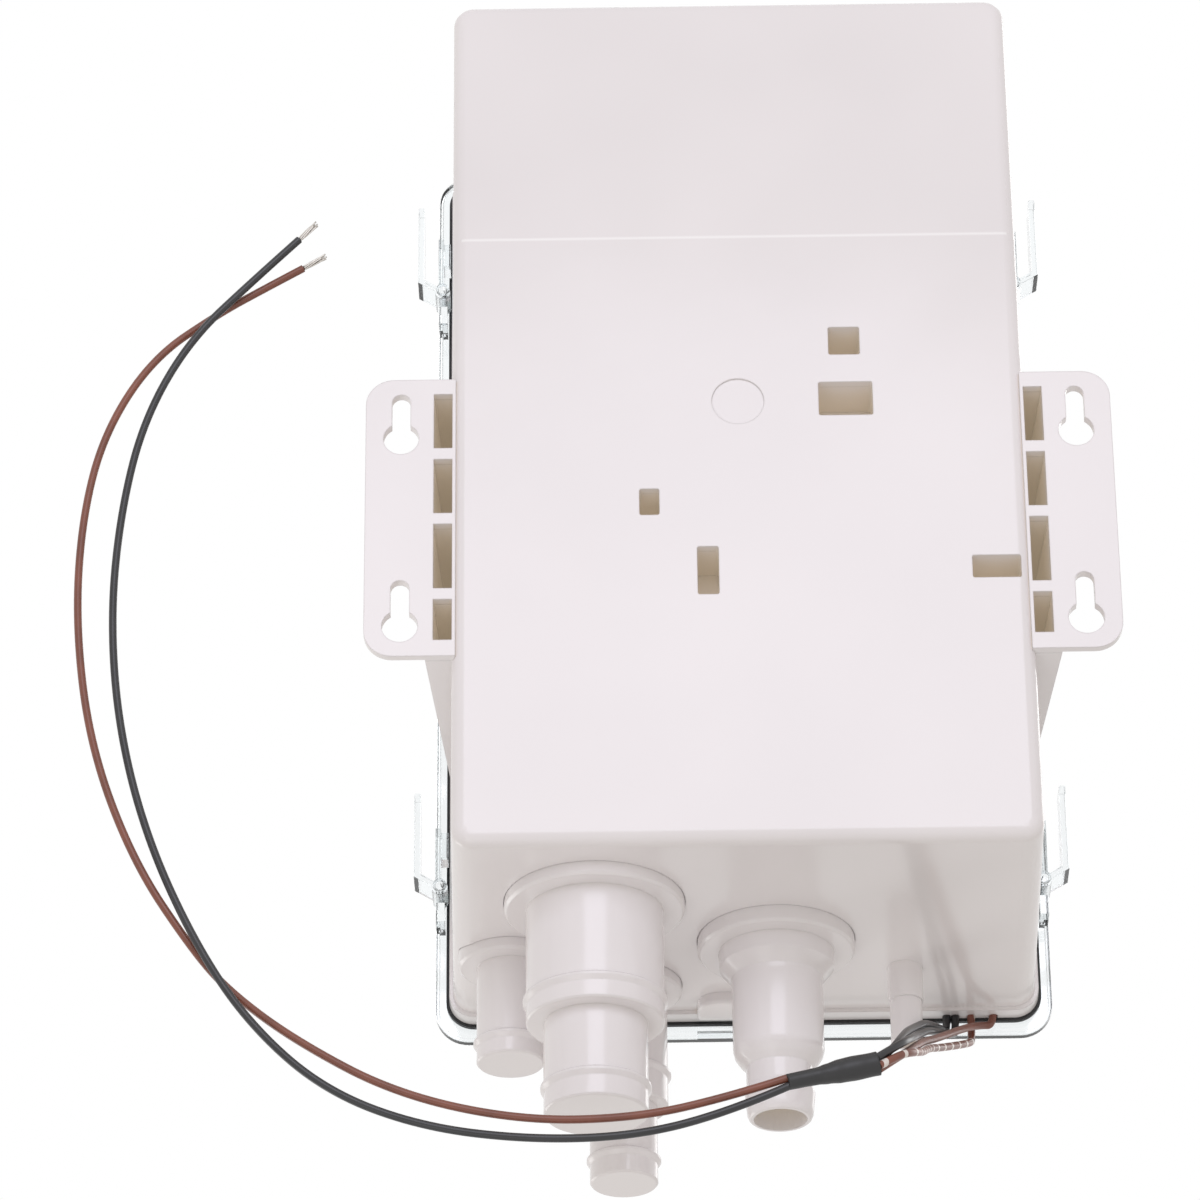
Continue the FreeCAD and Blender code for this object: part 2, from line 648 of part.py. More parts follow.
def make_screen_mesh():
    x0 = divider_x + 2.2 + running_gap + screen_frame + guide_depth - 2.0
    x1 = half_width(0) - wall - running_gap - screen_frame - guide_depth + 2.0
    z0 = floor_thickness + running_gap + screen_frame - 2.0
    z1 = floor_thickness + running_gap + screen_height - screen_frame + 2.0
    columns, rows = screen_holes
    pitch_x = (x1 - x0 - 4.0) / columns
    pitch_z = (z1 - z0 - 4.0) / rows
    half = screen_hole / 2
    holes = []
    for column in range(columns):
        for row in range(rows):
            x = x0 + 2.0 + pitch_x * (column + 0.5)
            z = z0 + 2.0 + pitch_z * (row + 0.5)
            corners = [V(x - half, screen_y, z - half), V(x - half, screen_y, z + half),
                       V(x + half, screen_y, z + half), V(x + half, screen_y, z - half), V(x - half, screen_y, z - half)]
            holes.append(Part.makePolygon(corners))
    edge = Part.makePolygon([V(x0, screen_y, z0), V(x1, screen_y, z0), V(x1, screen_y, z1),
                             V(x0, screen_y, z1), V(x0, screen_y, z0)])
    face = Part.makeFace([edge] + holes, "Part::FaceMakerBullseye")
    sheet = face.extrude(V(0, screen_mesh_thickness, 0))
    sheet.translate(V(0, -screen_mesh_thickness / 2, 0))
    return sheet


def make_strainer_base():
    """Slotted basket on the tub floor; the pump cartridge clicks onto its top plate."""
    z0, z1 = floor_thickness, floor_thickness + base_height
    eye = 13.0
    profile = [(base_radius, z0), (base_radius, z1 - 0.8), (base_radius - 0.8, z1), (eye, z1), (eye, z1 - 2.4),
               (base_radius - 2.2, z1 - 2.4), (base_radius - 2.2, z0)]
    body = turned_z(profile, pump_x, pump_y)
    for n in range(base_slots):
        angle = 360.0 * n / base_slots
        slot = box(base_radius - 4.0, base_radius + 1.0, -1.1, 1.1, z0 + 1.6, z1 - 5.0)
        slot.rotate(V(0, 0, 0), V(0, 0, 1), angle)
        slot.translate(V(pump_x, pump_y, 0))
        body = body.cut(slot)
    for angle in tab_angles:
        window = box(tab_radius - 2.2, base_radius + 2.0, -4.6, 4.6, z0 + 1.0, z1 + 1.0)
        window = window.fuse(rod_y(tab_pin_radius + shaft_gap, -6.6, 6.6, tab_radius, tab_pivot_z))
        window.rotate(V(0, 0, 0), V(0, 0, 1), angle)
        window.translate(V(pump_x, pump_y, 0))
        body = body.cut(window)
    step = 360.0 / base_slots
    angles = [(number + 0.5) * step for number in base_cuts]
    angles = sorted(angles + [angle + way * tab_cut for angle in tab_angles for way in (-1, 1)])
    skirt = post(base_radius + 5.0, pump_x, pump_y, z0 - 1.0, z1 - 2.4)
    return Part.Compound(sectors(body.common(skirt), pump_x, pump_y, angles)
                         + sectors(body.cut(skirt), pump_x, pump_y, angles))


def make_release_tab(angle):
    """Rocker on the strainer base: squeezed at the bottom, its top hook lets the cartridge go."""
    low, high = floor_thickness + 2.0, floor_thickness + base_height + 5.4
    back = tab_radius + 1.1
    section = [(tab_radius - 0.9, 0, low), (back, 0, low), (back, 0, high), (volute_radius - 1.1, 0, high - 2.2),
               (volute_radius - 1.1, 0, high - 2.8), (tab_radius - 0.9, 0, high - 2.8)]
    bar = prism(section, (0, 8.4, 0))
    bar.translate(V(0, -4.2, 0))
    bar = bar.fuse(rod_y(tab_pin_radius, -6.3, 6.3, tab_radius, tab_pivot_z))
    for z in (low + 1.6, low + 3.6, low + 5.6):
        bar = bar.cut(rod_y(0.5, -5.0, 5.0, back, z))
    bar.rotate(V(0, 0, 0), V(0, 0, 1), angle)
    bar.translate(V(pump_x, pump_y, 0))
    return bar.removeSplitter()


def make_volute():
    """Pump bowl with the impeller chamber and the sideways discharge barb."""
    z0 = floor_thickness + base_height
    z1 = z0 + volute_height
    r = volute_radius
    outer = turned_z([(0, z0 + 0.05), (r - 1.0, z0 + 0.05), (r, z0 + 1.0), (r, z0 + 2.2), (r - 1.8, z0 + 2.4),
                      (r - 1.8, z0 + 6.4), (r, z0 + 6.6), (r, z1), (0, z1)], pump_x, pump_y)
    x = port_out[0]
    barb = hose_inner - 0.6
    profile = [(pump_y, 0), (pump_y, hose_inner + 0.3), (volute_barb_y, hose_inner + 0.3), (volute_barb_y, barb)]
    for ring in (volute_barb_y - 6.0, volute_barb_y - 12.0, volute_barb_y - 18.0):
        profile += [(ring, barb), (ring - 0.4, hose_inner - glue_gap), (ring - 2.2, barb)]
    profile += [(volute_tip_y + 0.8, barb), (volute_tip_y, barb - 0.8), (volute_tip_y, 0)]
    tube = turned(profile, x, discharge_z)
    chamber = post(impeller_radius + 4.0, pump_x, pump_y, z0 + 4.0, z0 + 17.0)
    eye = post(10.5, pump_x, pump_y, z0 - 1.0, z0 + 5.0)
    seat = post(seal_radius, pump_x, pump_y, z0 + 16.0, z1 + 1.0)
    bore = rod_y(6.9, volute_tip_y - 1.0, pump_y - 6.0, x, discharge_z)
    ring_groove = post(o_ring_radius + 1.1, pump_x, pump_y, z1 - 1.6, z1 + 1.0)
    ring_groove = ring_groove.cut(post(o_ring_radius - 1.1, pump_x, pump_y, z1 - 2.0, z1 + 2.0))
    body = outer.fuse(tube)
    for cut in (chamber, eye, seat, bore, ring_groove):
        body = body.cut(cut)
    bowl = post(r, pump_x, pump_y, z0 - 1.0, z1 + 1.0)
    solids = body.cut(bowl).Solids
    for low, high in ((z0 - 1.0, z0 + 4.0), (z0 + 4.0, z0 + 17.0)):
        solids += sectors(body.common(post(r, pump_x, pump_y, low, high)), pump_x, pump_y, volute_cuts)
    solids += body.common(post(r, pump_x, pump_y, z0 + 17.0, z1 + 1.0)).Solids
    return Part.Compound(solids)


def pump_top():
    return floor_thickness + base_height + volute_height


def make_o_ring():
    return Part.makeTorus(o_ring_radius, 0.8, V(pump_x, pump_y, pump_top() - 0.8))


def make_seal():
    z1 = pump_top()
    profile = [(shaft_radius + shaft_gap, z1 - 5.0), (seal_radius - glue_gap, z1 - 5.0),
               (seal_radius - glue_gap, z1 - 0.2), (shaft_radius + 1.6, z1 - 0.2), (shaft_radius + 1.6, z1 - 3.0),
               (shaft_radius + shaft_gap, z1 - 3.0)]
    return turned_z(profile, pump_x, pump_y)


def make_impeller():
    """Open impeller: a hub, a back disc and swept vanes that hang below it."""
    z0 = floor_thickness + base_height + 5.5
    disc_z = z0 + 8.0
    body = post(impeller_radius, pump_x, pump_y, disc_z, disc_z + 1.6)
    body = body.fuse(post(4.6, pump_x, pump_y, z0, disc_z + 1.6))
    for n in range(impeller_vanes):
        swing = 15.0
        ring = post(swing, 0, 0, z0 + 1.0, disc_z + 0.2).cut(post(swing - 1.4, 0, 0, z0, disc_z + 1.0))
        ring.translate(V(4.0, swing - 1.5, 0))
        sector = prism([(4.0, -0.5, z0 - 1), (impeller_radius + 8.0, -8.0, z0 - 1),
                        (impeller_radius + 8.0, 16.0, z0 - 1), (4.0, 2.0, z0 - 1)], (0, 0, 12.0))
        vane = ring.common(sector).common(post(impeller_radius - 0.2, 0, 0, z0, disc_z + 1.0))
        vane.rotate(V(0, 0, 0), V(0, 0, 1), 360.0 * n / impeller_vanes)
        vane.translate(V(pump_x, pump_y, 0))
        body = body.fuse(vane)
    return body.cut(post(shaft_radius, pump_x, pump_y, z0 - 1.0, disc_z + 3.0)).removeSplitter()


def make_shaft():
    return post(shaft_radius, pump_x, pump_y, floor_thickness + base_height + 5.5, motor_low() + motor_height + 1.0)


def motor_low():
    return pump_top() + 4.0


def make_motor_housing():
    """Sealed motor shell with outside ribs and four inside rails that centre the motor."""
    z0, z1 = pump_top(), pump_top() + housing_height
    r = housing_radius
    shell = post(r, pump_x, pump_y, z0, z1).cut(post(r - 2.5, pump_x, pump_y, z0 + 3.4, z1 + 1.0))
    shell = shell.cut(post(shaft_radius + 0.6, pump_x, pump_y, z0 - 1.0, z0 + 5.0))
    pieces = [shell]
    for n in range(housing_ribs):
        rib = box(r - 1.0, r + 1.3, -0.9, 0.9, z0 + 5.0, z1 - 2.0)
        rib.rotate(V(0, 0, 0), V(0, 0, 1), 360.0 * (n + 0.5) / housing_ribs)
        rib.translate(V(pump_x, pump_y, 0))
        pieces.append(rib)
    for n in range(4):
        rail = box(motor_radius + glue_gap, r - 2.0, -1.0, 1.0, z0 + 3.0, z1 - 6.0)
        rail.rotate(V(0, 0, 0), V(0, 0, 1), 90.0 * n)
        rail.translate(V(pump_x, pump_y, 0))
        pieces.append(rail)
    return fuse(pieces)


def make_motor_can():
    z0 = motor_low()
    z1 = z0 + motor_height
    r = motor_radius
    profile = [(bearing_radius, z0), (r - 1.5, z0), (r, z0 + 1.5), (r, z1), (r - 1.2, z1), (r - 1.2, z0 + 1.5),
               (bearing_radius, z0 + 1.5)]
    return turned_z(profile, pump_x, pump_y)


def make_motor_endcap():
    z1 = motor_low() + motor_height
    profile = [(bearing_radius, z1 - 2.5), (motor_radius - 1.3, z1 - 2.5), (motor_radius - 1.3, z1),
               (bearing_radius, z1)]
    cap = turned_z(profile, pump_x, pump_y)
    for side in (-1, 1):
        x0, x1 = sorted((side * 5.6, side * 12.0))
        cap = cap.fuse(box(pump_x + x0, pump_x + x1, pump_y - 2.5, pump_y + 2.5, z1 - 7.5, z1 - 2.5))
    return cap.removeSplitter()


def make_magnets():
    z0 = motor_low() + 6.0
    tube = post(motor_radius - 1.25, pump_x, pump_y, z0, z0 + 22.0).cut(
        post(motor_radius - 4.2, pump_x, pump_y, z0 - 1.0, z0 + 23.0))
    gap = box(pump_x - 3.0, pump_x + 3.0, pump_y - 30.0, pump_y + 30.0, z0 - 1.0, z0 + 23.0)
    return tube.cut(gap)


def make_armature():
    """Slotted iron stack with the commutator above it."""
    z0 = motor_low() + 7.0
    stack = post(motor_radius - 4.8, pump_x, pump_y, z0, z0 + 20.0)
    for n in range(5):
        slot = box(7.0, 14.0, -1.3, 1.3, z0 - 1.0, z0 + 21.0)
        slot.rotate(V(0, 0, 0), V(0, 0, 1), 72.0 * n)
        slot.translate(V(pump_x, pump_y, 0))
        stack = stack.cut(slot)
    stack = stack.fuse(post(5.0, pump_x, pump_y, z0 + 19.0, z0 + 28.0))
    return stack.cut(post(shaft_radius, pump_x, pump_y, z0 - 1.0, z0 + 30.0)).removeSplitter()


def make_bearings():
    z0 = motor_low()
    rings = []
    for z in (z0, z0 + motor_height - 2.5):
        ring = post(bearing_radius - glue_gap, pump_x, pump_y, z, z + 2.5)
        rings.append(ring.cut(post(shaft_radius + shaft_gap, pump_x, pump_y, z - 1.0, z + 4.0)))
    return Part.Compound(rings)


def make_pump_cap():
    """Domed cap over the motor with the wire gland and two carrying lugs."""
    z0 = pump_top() + housing_height
    z1 = z0 + cap_height
    r = housing_radius
    profile = [(0, z0 + 4.0), (r - 3.2, z0 + 4.0), (r - 3.2, z0 - 2.0), (r - 2.6, z0 - 2.0), (r - 2.6, z0 + 0.05),
               (r, z0 + 0.05), (r, z0 + 4.0), (r - 2.5, z0 + 8.0), (r - 9.0, z1 - 1.0), (r - 14.0, z1), (0, z1)]
    cap = turned_z(profile, pump_x, pump_y)
    cap = cap.fuse(post(4.4, pump_x + gland_offset[0], pump_y + gland_offset[1], z1 - 4.0, z1 + gland_height))
    for side in (-1, 1):
        x0, x1 = sorted((side * (r - 4.0), side * (r + 1.6)))
        cap = cap.fuse(box(pump_x + x0, pump_x + x1, pump_y - 5.0, pump_y + 5.0, z0 + 1.0, z0 + 5.0))
    return cap.removeSplitter()


def make_hose():
    """S-bend from the pump to the outlet, in one upright plane."""
    x = port_out[0]
    rise = port_out[1] - discharge_z
    start_y, end_y = volute_barb_y - hose_root_gap, seat_y + 8.5 + hose_root_gap
    turn = math.radians(42.0)
    straight = (rise - 2 * hose_bend * (1 - math.cos(turn))) / math.sin(turn)
    run = 2 * hose_bend * math.sin(turn) + straight * math.cos(turn)
    first = 24.0
    bend_y = start_y - first
    s, c = math.sin(turn), math.cos(turn)
    half_s, half_c = math.sin(turn / 2), math.cos(turn / 2)
    p0 = V(x, start_y, discharge_z)
    p1 = V(x, bend_y, discharge_z)
    m1 = V(x, bend_y - hose_bend * half_s, discharge_z + hose_bend * (1 - half_c))
    p2 = V(x, bend_y - hose_bend * s, discharge_z + hose_bend * (1 - c))
    p3 = V(x, p2.y - straight * c, p2.z + straight * s)
    p4 = V(x, bend_y - run, port_out[1])
    m2 = V(x, p4.y + hose_bend * half_s, p4.z - hose_bend * (1 - half_c))
    p5 = V(x, end_y, port_out[1])
    edges = [Part.LineSegment(p0, p1).toShape(), Part.Arc(p1, m1, p2).toShape(),
             Part.LineSegment(p2, p3).toShape(), Part.Arc(p3, m2, p4).toShape(),
             Part.LineSegment(p4, p5).toShape()]
    path = Part.Wire(edges)
    tubes = []
    for radius in (hose_inner + hose_wall, hose_inner):
        circle = Part.Wire([Part.makeCircle(radius, p0, V(0, 1, 0))])
        tubes.append(path.makePipeShell([circle], True, True))
    return tubes[0].cut(tubes[1])


def make_clamps():
    r = hose_inner + hose_wall
    clamps = []
    for y, z in ((clamp_ys[0], discharge_z), (clamp_ys[1], port_out[1])):
        band = rod_y(r + 0.75, y - 4.5, y + 4.5, port_out[0], z)
        x = port_out[0]
        block = rounded_box(x - 6.0, x + 6.0, y - 4.0, y + 4.0, z + r - 1.0, z + r + 6.0, 1.0)
        screw = rod_x(3.0, x + 5.0, x + 9.5, y, z + r + 3.4)
        slot = box(x + 8.5, x + 10.5, y - 3.5, y + 3.5, z + r + 3.0, z + r + 3.8)
        clamp = band.fuse(block).fuse(screw).cut(slot).cut(rod_y(r + glue_gap, y - 6.0, y + 6.0, x, z))
        clamps.append(clamp.removeSplitter())
    return Part.Compound(clamps)


def float_frame(shape):
    """Turn a shape from the switch's own frame, X along the strip, to its place on the bosses."""
    x0 = (pocket_side[0] + pocket_side[1]) / 2
    y0 = (pocket_side[2] + pocket_side[3]) / 2
    x1 = (pocket_rear[0] + pocket_rear[1]) / 2
    y1 = (pocket_rear[2] + pocket_rear[3]) / 2
    shape.rotate(V(0, 0, 0), V(0, 0, 1), math.degrees(math.atan2(y1 - y0, x1 - x0)))
    shape.translate(V(x0, y0, boss_top))
    return shape


def strip_length():
    x = (pocket_rear[0] + pocket_rear[1] - pocket_side[0] - pocket_side[1]) / 2
    y = (pocket_rear[2] + pocket_rear[3] - pocket_side[2] - pocket_side[3]) / 2
    return math.hypot(x, y)


def make_float_base():
    length = strip_length()
    strip = rounded_box(-6.0, length + 6.0, -7.0, 7.0, 0, 3.0, 5.0)
    for side in (-1, 1):
        y0, y1 = sorted((side * 6.4, side * 9.0))
        ear = box(float_pivot_u - 4.0, float_pivot_u + 4.0, y0, y1, 0, float_pivot_h + 3.5)
        top = [e for e in ear.Edges
               if all(abs(v.Z - float_pivot_h - 3.5) < 0.01 for v in e.Vertexes)
               and abs(e.Vertexes[0].X - e.Vertexes[-1].X) < 0.01]
        strip = strip.fuse(ear.makeFillet(3.4, top))
    case = rounded_box(float_pivot_u - 13.0, float_pivot_u - 5.2, -7.0, 7.0, 2.5, 12.0, 1.5)
    strip = strip.fuse(case)
    strip = strip.cut(rod_y(float_pin_radius + 0.02, -12, 12, float_pivot_u, float_pivot_h))
    for u in (0, length):
        strip = strip.cut(post(screw_radius + 0.15, u, 0, -1, 14.0))
        strip = strip.cut(post(screw_head + 0.2, u, 0, 3.0, 14.0))
    return float_frame(strip.removeSplitter())


def make_float():
    """Hollow blow-moulded float on its hinge arm."""
    u0 = float_pivot_u + 10.0
    low = float_pivot_h - 5.0
    body = rounded_box(u0, u0 + float_length, -float_width / 2, float_width / 2, low, low + float_height, 5.0)
    rims = [e for e in body.Edges
            if all(abs(v.Z - low) < 0.01 for v in e.Vertexes)
            or all(abs(v.Z - low - float_height) < 0.01 for v in e.Vertexes)]
    body = body.makeFillet(3.0, rims)
    arm = box(float_pivot_u, u0 + 3.0, -5.6, 5.6, float_pivot_h - 2.5, float_pivot_h + 2.5)
    hub = rod_y(3.4, -6.0, 6.0, float_pivot_u, float_pivot_h)
    shape = fuse([body, arm, hub]).cut(rod_y(float_pin_radius + shaft_gap, -8.0, 8.0, float_pivot_u, float_pivot_h))
    return float_frame(shape)


def make_float_pin():
    return float_frame(rod_y(float_pin_radius, -9.6, 9.6, float_pivot_u, float_pivot_h))


def make_float_screws():
    screws = []
    for u in (0, strip_length()):
        shank = post(screw_radius, u, 0, -4.0, 3.2)
        head = turned_z([(0, 3.0), (screw_head, 3.0), (screw_head - 0.4, 4.2), (screw_head - 1.6, 5.0), (0, 5.0)], u, 0)
        cross = box(u - 1.9, u + 1.9, -0.4, 0.4, 4.0, 6.0).fuse(box(u - 0.4, u + 0.4, -1.9, 1.9, 4.0, 6.0))
        screws.append(float_frame(shank.fuse(head).cut(cross)))
    return Part.Compound(screws)


def cord(points, radius, name):
    """Round cord along a route: straight runs joined by arcs as large as the runs allow."""
    p = [V(*q) for q in points]
    edges, radii, length, start = [], [], 0.0, p[0]
    for before, here, after in zip(p, p[1:], p[2:]):
        d0, d1 = (here - before), (after - here)
        shorter = min(d0.Length, d1.Length)
        d0.normalize()
        d1.normalize()
        turn = d0.getAngle(d1)
        reach = 0.45 * shorter
        arc_radius = reach / math.tan(turn / 2)
        a, b = here - d0 * reach, here + d1 * reach
        inward = d1 - d0
        inward.normalize()
        middle = here + inward * (arc_radius / math.cos(turn / 2) - arc_radius)
        edges += [Part.LineSegment(start, a).toShape(), Part.Arc(a, middle, b).toShape()]
        length += (a - start).Length + arc_radius * turn
        radii.append(round(arc_radius, 1))
        start = b
    edges.append(Part.LineSegment(start, p[-1]).toShape())
    length += (p[-1] - start).Length
    path = Part.Wire(edges)
    section = Part.Wire([Part.makeCircle(radius, p[0], p[1] - p[0])])
    body = path.makePipeShell([section], True, False)
    print(name, "radii", radii, "length", round(length, 1),
          "volume ratio", round(body.Volume / (math.pi * radius * radius * length), 4))
    return body


def wire_routes():
    """Centre lines of the four wires from their notches in the rim down to the splice sleeve."""
    z = tub_height - wire_radius - 0.15
    start = front_wall(tub_height) + 1.8
    a, b, c, d = wire_notches
    return {
        "wire_black_pump": [(a, start, z), (a, -106.4, z), (-56.0, -108.6, 100.0), (-49.9, -118.9, 73.0),
                            (-46.2, -127.1, 58.0), (-42.7, -140.1, 32.1), (-39.9, -150.8, 13.5), (-37.2, -157.1, 6.6),
                            (-33.0, -161.1, 5.1)],
        "wire_black_float": [(b, start, z), (b, -106.8, z), (-58.6, -110.4, 100.0), (-50.9, -121.2, 73.0),
                             (-47.4, -129.2, 58.0), (-44.4, -142.0, 31.9), (-42.2, -151.4, 12.5), (-38.6, -156.8, 4.6),
                             (-33.0, -161.1, 2.7)],
        "wire_striped": [(c, start, z), (c, -109.0, z), (-63.8, -113.2, 100.0), (-53.8, -126.7, 73.0),
                         (-49.7, -133.5, 58.0), (-46.8, -146.5, 31.9), (-44.1, -155.2, 12.5), (-39.4, -159.3, 4.6),
                         (-33.5, -163.5, 2.7)],
        "wire_brown": [(d, start, z), (d, -104.4, z), (-67.4, -105.2, 105.2), (-62.4, -109.0, 98.6),
                       (-52.5, -124.0, 73.0), (-48.5, -131.4, 58.0), (-45.1, -144.5, 32.1), (-41.7, -154.6, 13.5),
                       (-38.1, -159.7, 6.6), (-33.5, -163.5, 5.1)],
    }


def lead_routes():
    """Centre lines of the two supply leads; the brown one humps over the black one twice."""
    z = lead_z
    return {
        "lead_brown": [(-8.8, -167.0, 2.3), (6.0, -172.2, 1.8), (31.0, -178.4, z), (62.0, -178.8, z), (95.0, -170.6, z),
                       (122.0, -154.6, 1.3), (140.0, -138.6, 4.6), (150.4, -125.8, 4.6), (166.6, -101.0, 1.4),
                       (179.4, -66.0, z), (184.8, -28.0, z), (184.2, 6.0, z), (178.8, 34.0, z), (165.8, 58.6, 1.5),
                       (147.6, 75.0, 4.6), (135.6, 82.6, 4.6), (123.6, 88.6, 2.6)],
        "lead_black": [(-9.4, -169.2, 2.3), (6.0, -176.4, 1.8), (30.0, -183.4, z), (58.0, -184.4, z), (88.0, -180.3, z),
                       (114.0, -169.3, z), (134.2, -149.8, z), (149.2, -126.0, z), (163.2, -94.0, z), (171.9, -60.0, z),
                       (175.2, -25.0, z), (173.4, 8.0, z), (167.8, 38.0, z), (155.6, 64.0, z), (138.2, 83.4, z),
                       (124.9, 97.4, z)],
    }


def make_sleeve():
    """Heat-shrink sleeve over the splices: wide over the four wires, narrow over the two leads."""
    wide, narrow = V(-33.25, -162.3, 3.9), V(-9.1, -168.1, 2.3)
    axis = narrow - wide
    length = axis.Length
    profile = [(0, 0), (3.3, 0), (3.4, 0.3 * length), (3.1, 0.52 * length), (2.4, 0.62 * length), (2.25, length), (0, length)]
    body = turned_z(profile, 0, 0)
    body.Placement = FreeCAD.Placement(wide, FreeCAD.Rotation(V(0, 0, 1), axis))
    return body


def make_conductors():
    """Stripped and tinned ends of the two leads, in line with them."""
    ends = []
    for route in lead_routes().values():
        before, end = V(*route[-2]), V(*route[-1])
        ends.append(Part.makeCylinder(strand_radius, strand_length, end, end - before))
    return Part.Compound(ends)


def inside_wires():
    """The same four wires inside the tub, from the pump cap and the float switch to the rim."""
    z = tub_height - wire_radius - 0.15
    end = front_wall(tub_height) + 1.8
    gland = pump_top() + housing_height + cap_height + gland_height
    gx, gy = pump_x + gland_offset[0], pump_y + gland_offset[1]
    a, b, c, d = wire_notches
    u = (pocket_side[0] + pocket_side[1]) / 2
    v = (pocket_side[2] + pocket_side[3]) / 2
    return {
        "pump_leads": [[(gx - 1.6, gy, gland), (gx - 1.6, gy, gland + 5.6), (gx - 8.0, gy - 8.0, gland + 6.6),
                        (-28.0, -2.0, gland + 4.0), (-44.0, -34.0, gland + 2.6), (-56.0, -64.0, 103.8),
                        (-57.6, -83.0, 106.4), (a, -92.0, z), (a, end, z)],
                       [(gx + 1.6, gy, gland), (gx + 1.6, gy, gland + 5.6), (gx - 4.0, gy - 11.4, gland + 6.6),
                        (-30.0, -10.0, gland + 4.0), (-52.0, -38.0, gland + 2.6), (-69.0, -64.0, 103.8),
                        (-71.2, -82.0, 106.4), (d, -91.0, z), (d, end, z)]],
        "float_leads": [[(u + 3.2, v - 7.4, boss_top + 7.0), (u + 0.6, v - 11.0, boss_top + 8.6),
                         (-72.4, -36.0, 50.0), (-73.6, -48.0, 76.0), (-71.0, -62.0, 96.0), (-65.0, -78.0, 103.6),
                         (-61.0, -87.0, 106.8), (b, -92.6, z), (b, end, z)],
                        [(u + 5.8, v - 9.0, boss_top + 7.0), (u + 4.6, v - 13.0, boss_top + 8.6),
                         (-68.8, -40.0, 50.0), (-70.8, -53.0, 77.0), (-69.6, -67.0, 96.0), (-66.8, -79.0, 103.4),
                         (-65.4, -87.4, 106.8), (c, -92.8, z), (c, end, z)]],
    }


save("tub", make_tub())
save("rim_gasket", make_gasket())
save("lid", make_lid())
for name, side, pivot_y in (("latch_rear_right", 1, latch_pivots[0]), ("latch_rear_left", -1, latch_pivots[0]),
                            ("latch_front_right", 1, latch_pivots[1]), ("latch_front_left", -1, latch_pivots[1])):
    save(name, make_latch(side, pivot_y))
save("filter_screen_frame", make_screen_frame())
save("filter_screen_mesh", make_screen_mesh())
save("inlet_fitting_38_28", stub_fitting(port_a, 25.0, 19.6, -101.4, [(19.05, -129.0, -135.3), (14.3, -154.9, -162.1)]))
save("inlet_fitting_25_19", stub_fitting(port_b, 17.0, 13.6, -102.7, [(12.7, -128.1, -137.6), (9.525, -154.0, -160.6)]))
save("inlet_fitting_19", stub_fitting(port_c, 14.7, 10.4, -102.2, [(9.525, -125.6, -131.3)]))
save("outlet_fitting", make_outlet_fitting())
save("outlet_hose_tail", make_hose_tail())
save("outlet_valve_flap", make_valve_flap())
save("outlet_valve_pin", make_valve_pin())
save("vent_nipple", make_vent_nipple())
save("pump_strainer_base", make_strainer_base())
save("pump_volute", make_volute())
save("pump_o_ring", make_o_ring())
save("pump_shaft_seal", make_seal())
save("pump_impeller", make_impeller())
save("motor_shaft", make_shaft())
save("motor_armature", make_armature())
save("motor_bearings", make_bearings())
save("motor_can", make_motor_can())
save("motor_magnets", make_magnets())
save("motor_brush_endcap", make_motor_endcap())
save("pump_motor_housing", make_motor_housing())
save("pump_cap", make_pump_cap())
for number, angle in enumerate(tab_angles):
    save("pump_release_tab_" + str(number + 1), make_release_tab(angle))
save("discharge_hose", make_hose())
save("hose_clamps", make_clamps())
save("float_switch_base", make_float_base())
save("float_switch_float", make_float())
save("float_switch_pin", make_float_pin())
save("float_switch_screws", make_float_screws())
for name, routes in inside_wires().items():
    save(name, Part.Compound([cord(route, wire_radius, name) for route in routes]))
for name, route in wire_routes().items():
    save(name, cord(route, wire_radius, name))
save("splice_sleeve", make_sleeve())
for name, route in lead_routes().items():
    save(name, cord(route, wire_radius, name))
save("lead_conductors", make_conductors())
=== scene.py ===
import bpy
import bmesh
import json
import math
from mathutils import Matrix, Vector

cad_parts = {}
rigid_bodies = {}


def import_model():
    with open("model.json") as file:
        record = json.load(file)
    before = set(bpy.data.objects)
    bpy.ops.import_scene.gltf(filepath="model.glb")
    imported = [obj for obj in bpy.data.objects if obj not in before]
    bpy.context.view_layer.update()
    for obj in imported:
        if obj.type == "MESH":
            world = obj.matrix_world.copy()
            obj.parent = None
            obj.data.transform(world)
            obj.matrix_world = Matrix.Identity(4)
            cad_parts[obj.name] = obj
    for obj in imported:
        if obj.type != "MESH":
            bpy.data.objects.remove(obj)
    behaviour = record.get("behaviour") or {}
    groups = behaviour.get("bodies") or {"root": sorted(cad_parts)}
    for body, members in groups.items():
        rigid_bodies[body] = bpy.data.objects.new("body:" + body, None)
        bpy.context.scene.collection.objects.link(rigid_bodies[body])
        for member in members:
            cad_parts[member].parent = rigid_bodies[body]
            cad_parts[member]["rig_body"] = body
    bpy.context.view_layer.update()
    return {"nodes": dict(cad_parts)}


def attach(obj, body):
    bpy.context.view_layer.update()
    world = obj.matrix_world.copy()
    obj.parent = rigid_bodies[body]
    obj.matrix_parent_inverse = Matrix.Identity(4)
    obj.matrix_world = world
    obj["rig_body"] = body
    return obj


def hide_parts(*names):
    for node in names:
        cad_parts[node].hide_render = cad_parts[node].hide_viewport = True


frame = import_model()
MM = 0.001

# Camera
# The photograph looks up at the underside from below the port end, through a long lens.
# Its place and angles were solved from the tub's own edges and the round ports.
camera_place = Vector((30.49, -797.8, -1408.9)) * MM
camera_pitch = math.radians(28.819)
camera_yaw = math.radians(0.320)
camera_roll = math.radians(-0.751)
focal_pixels = 5803.7
image_pixels = 1200.0
sensor_mm = 36.0

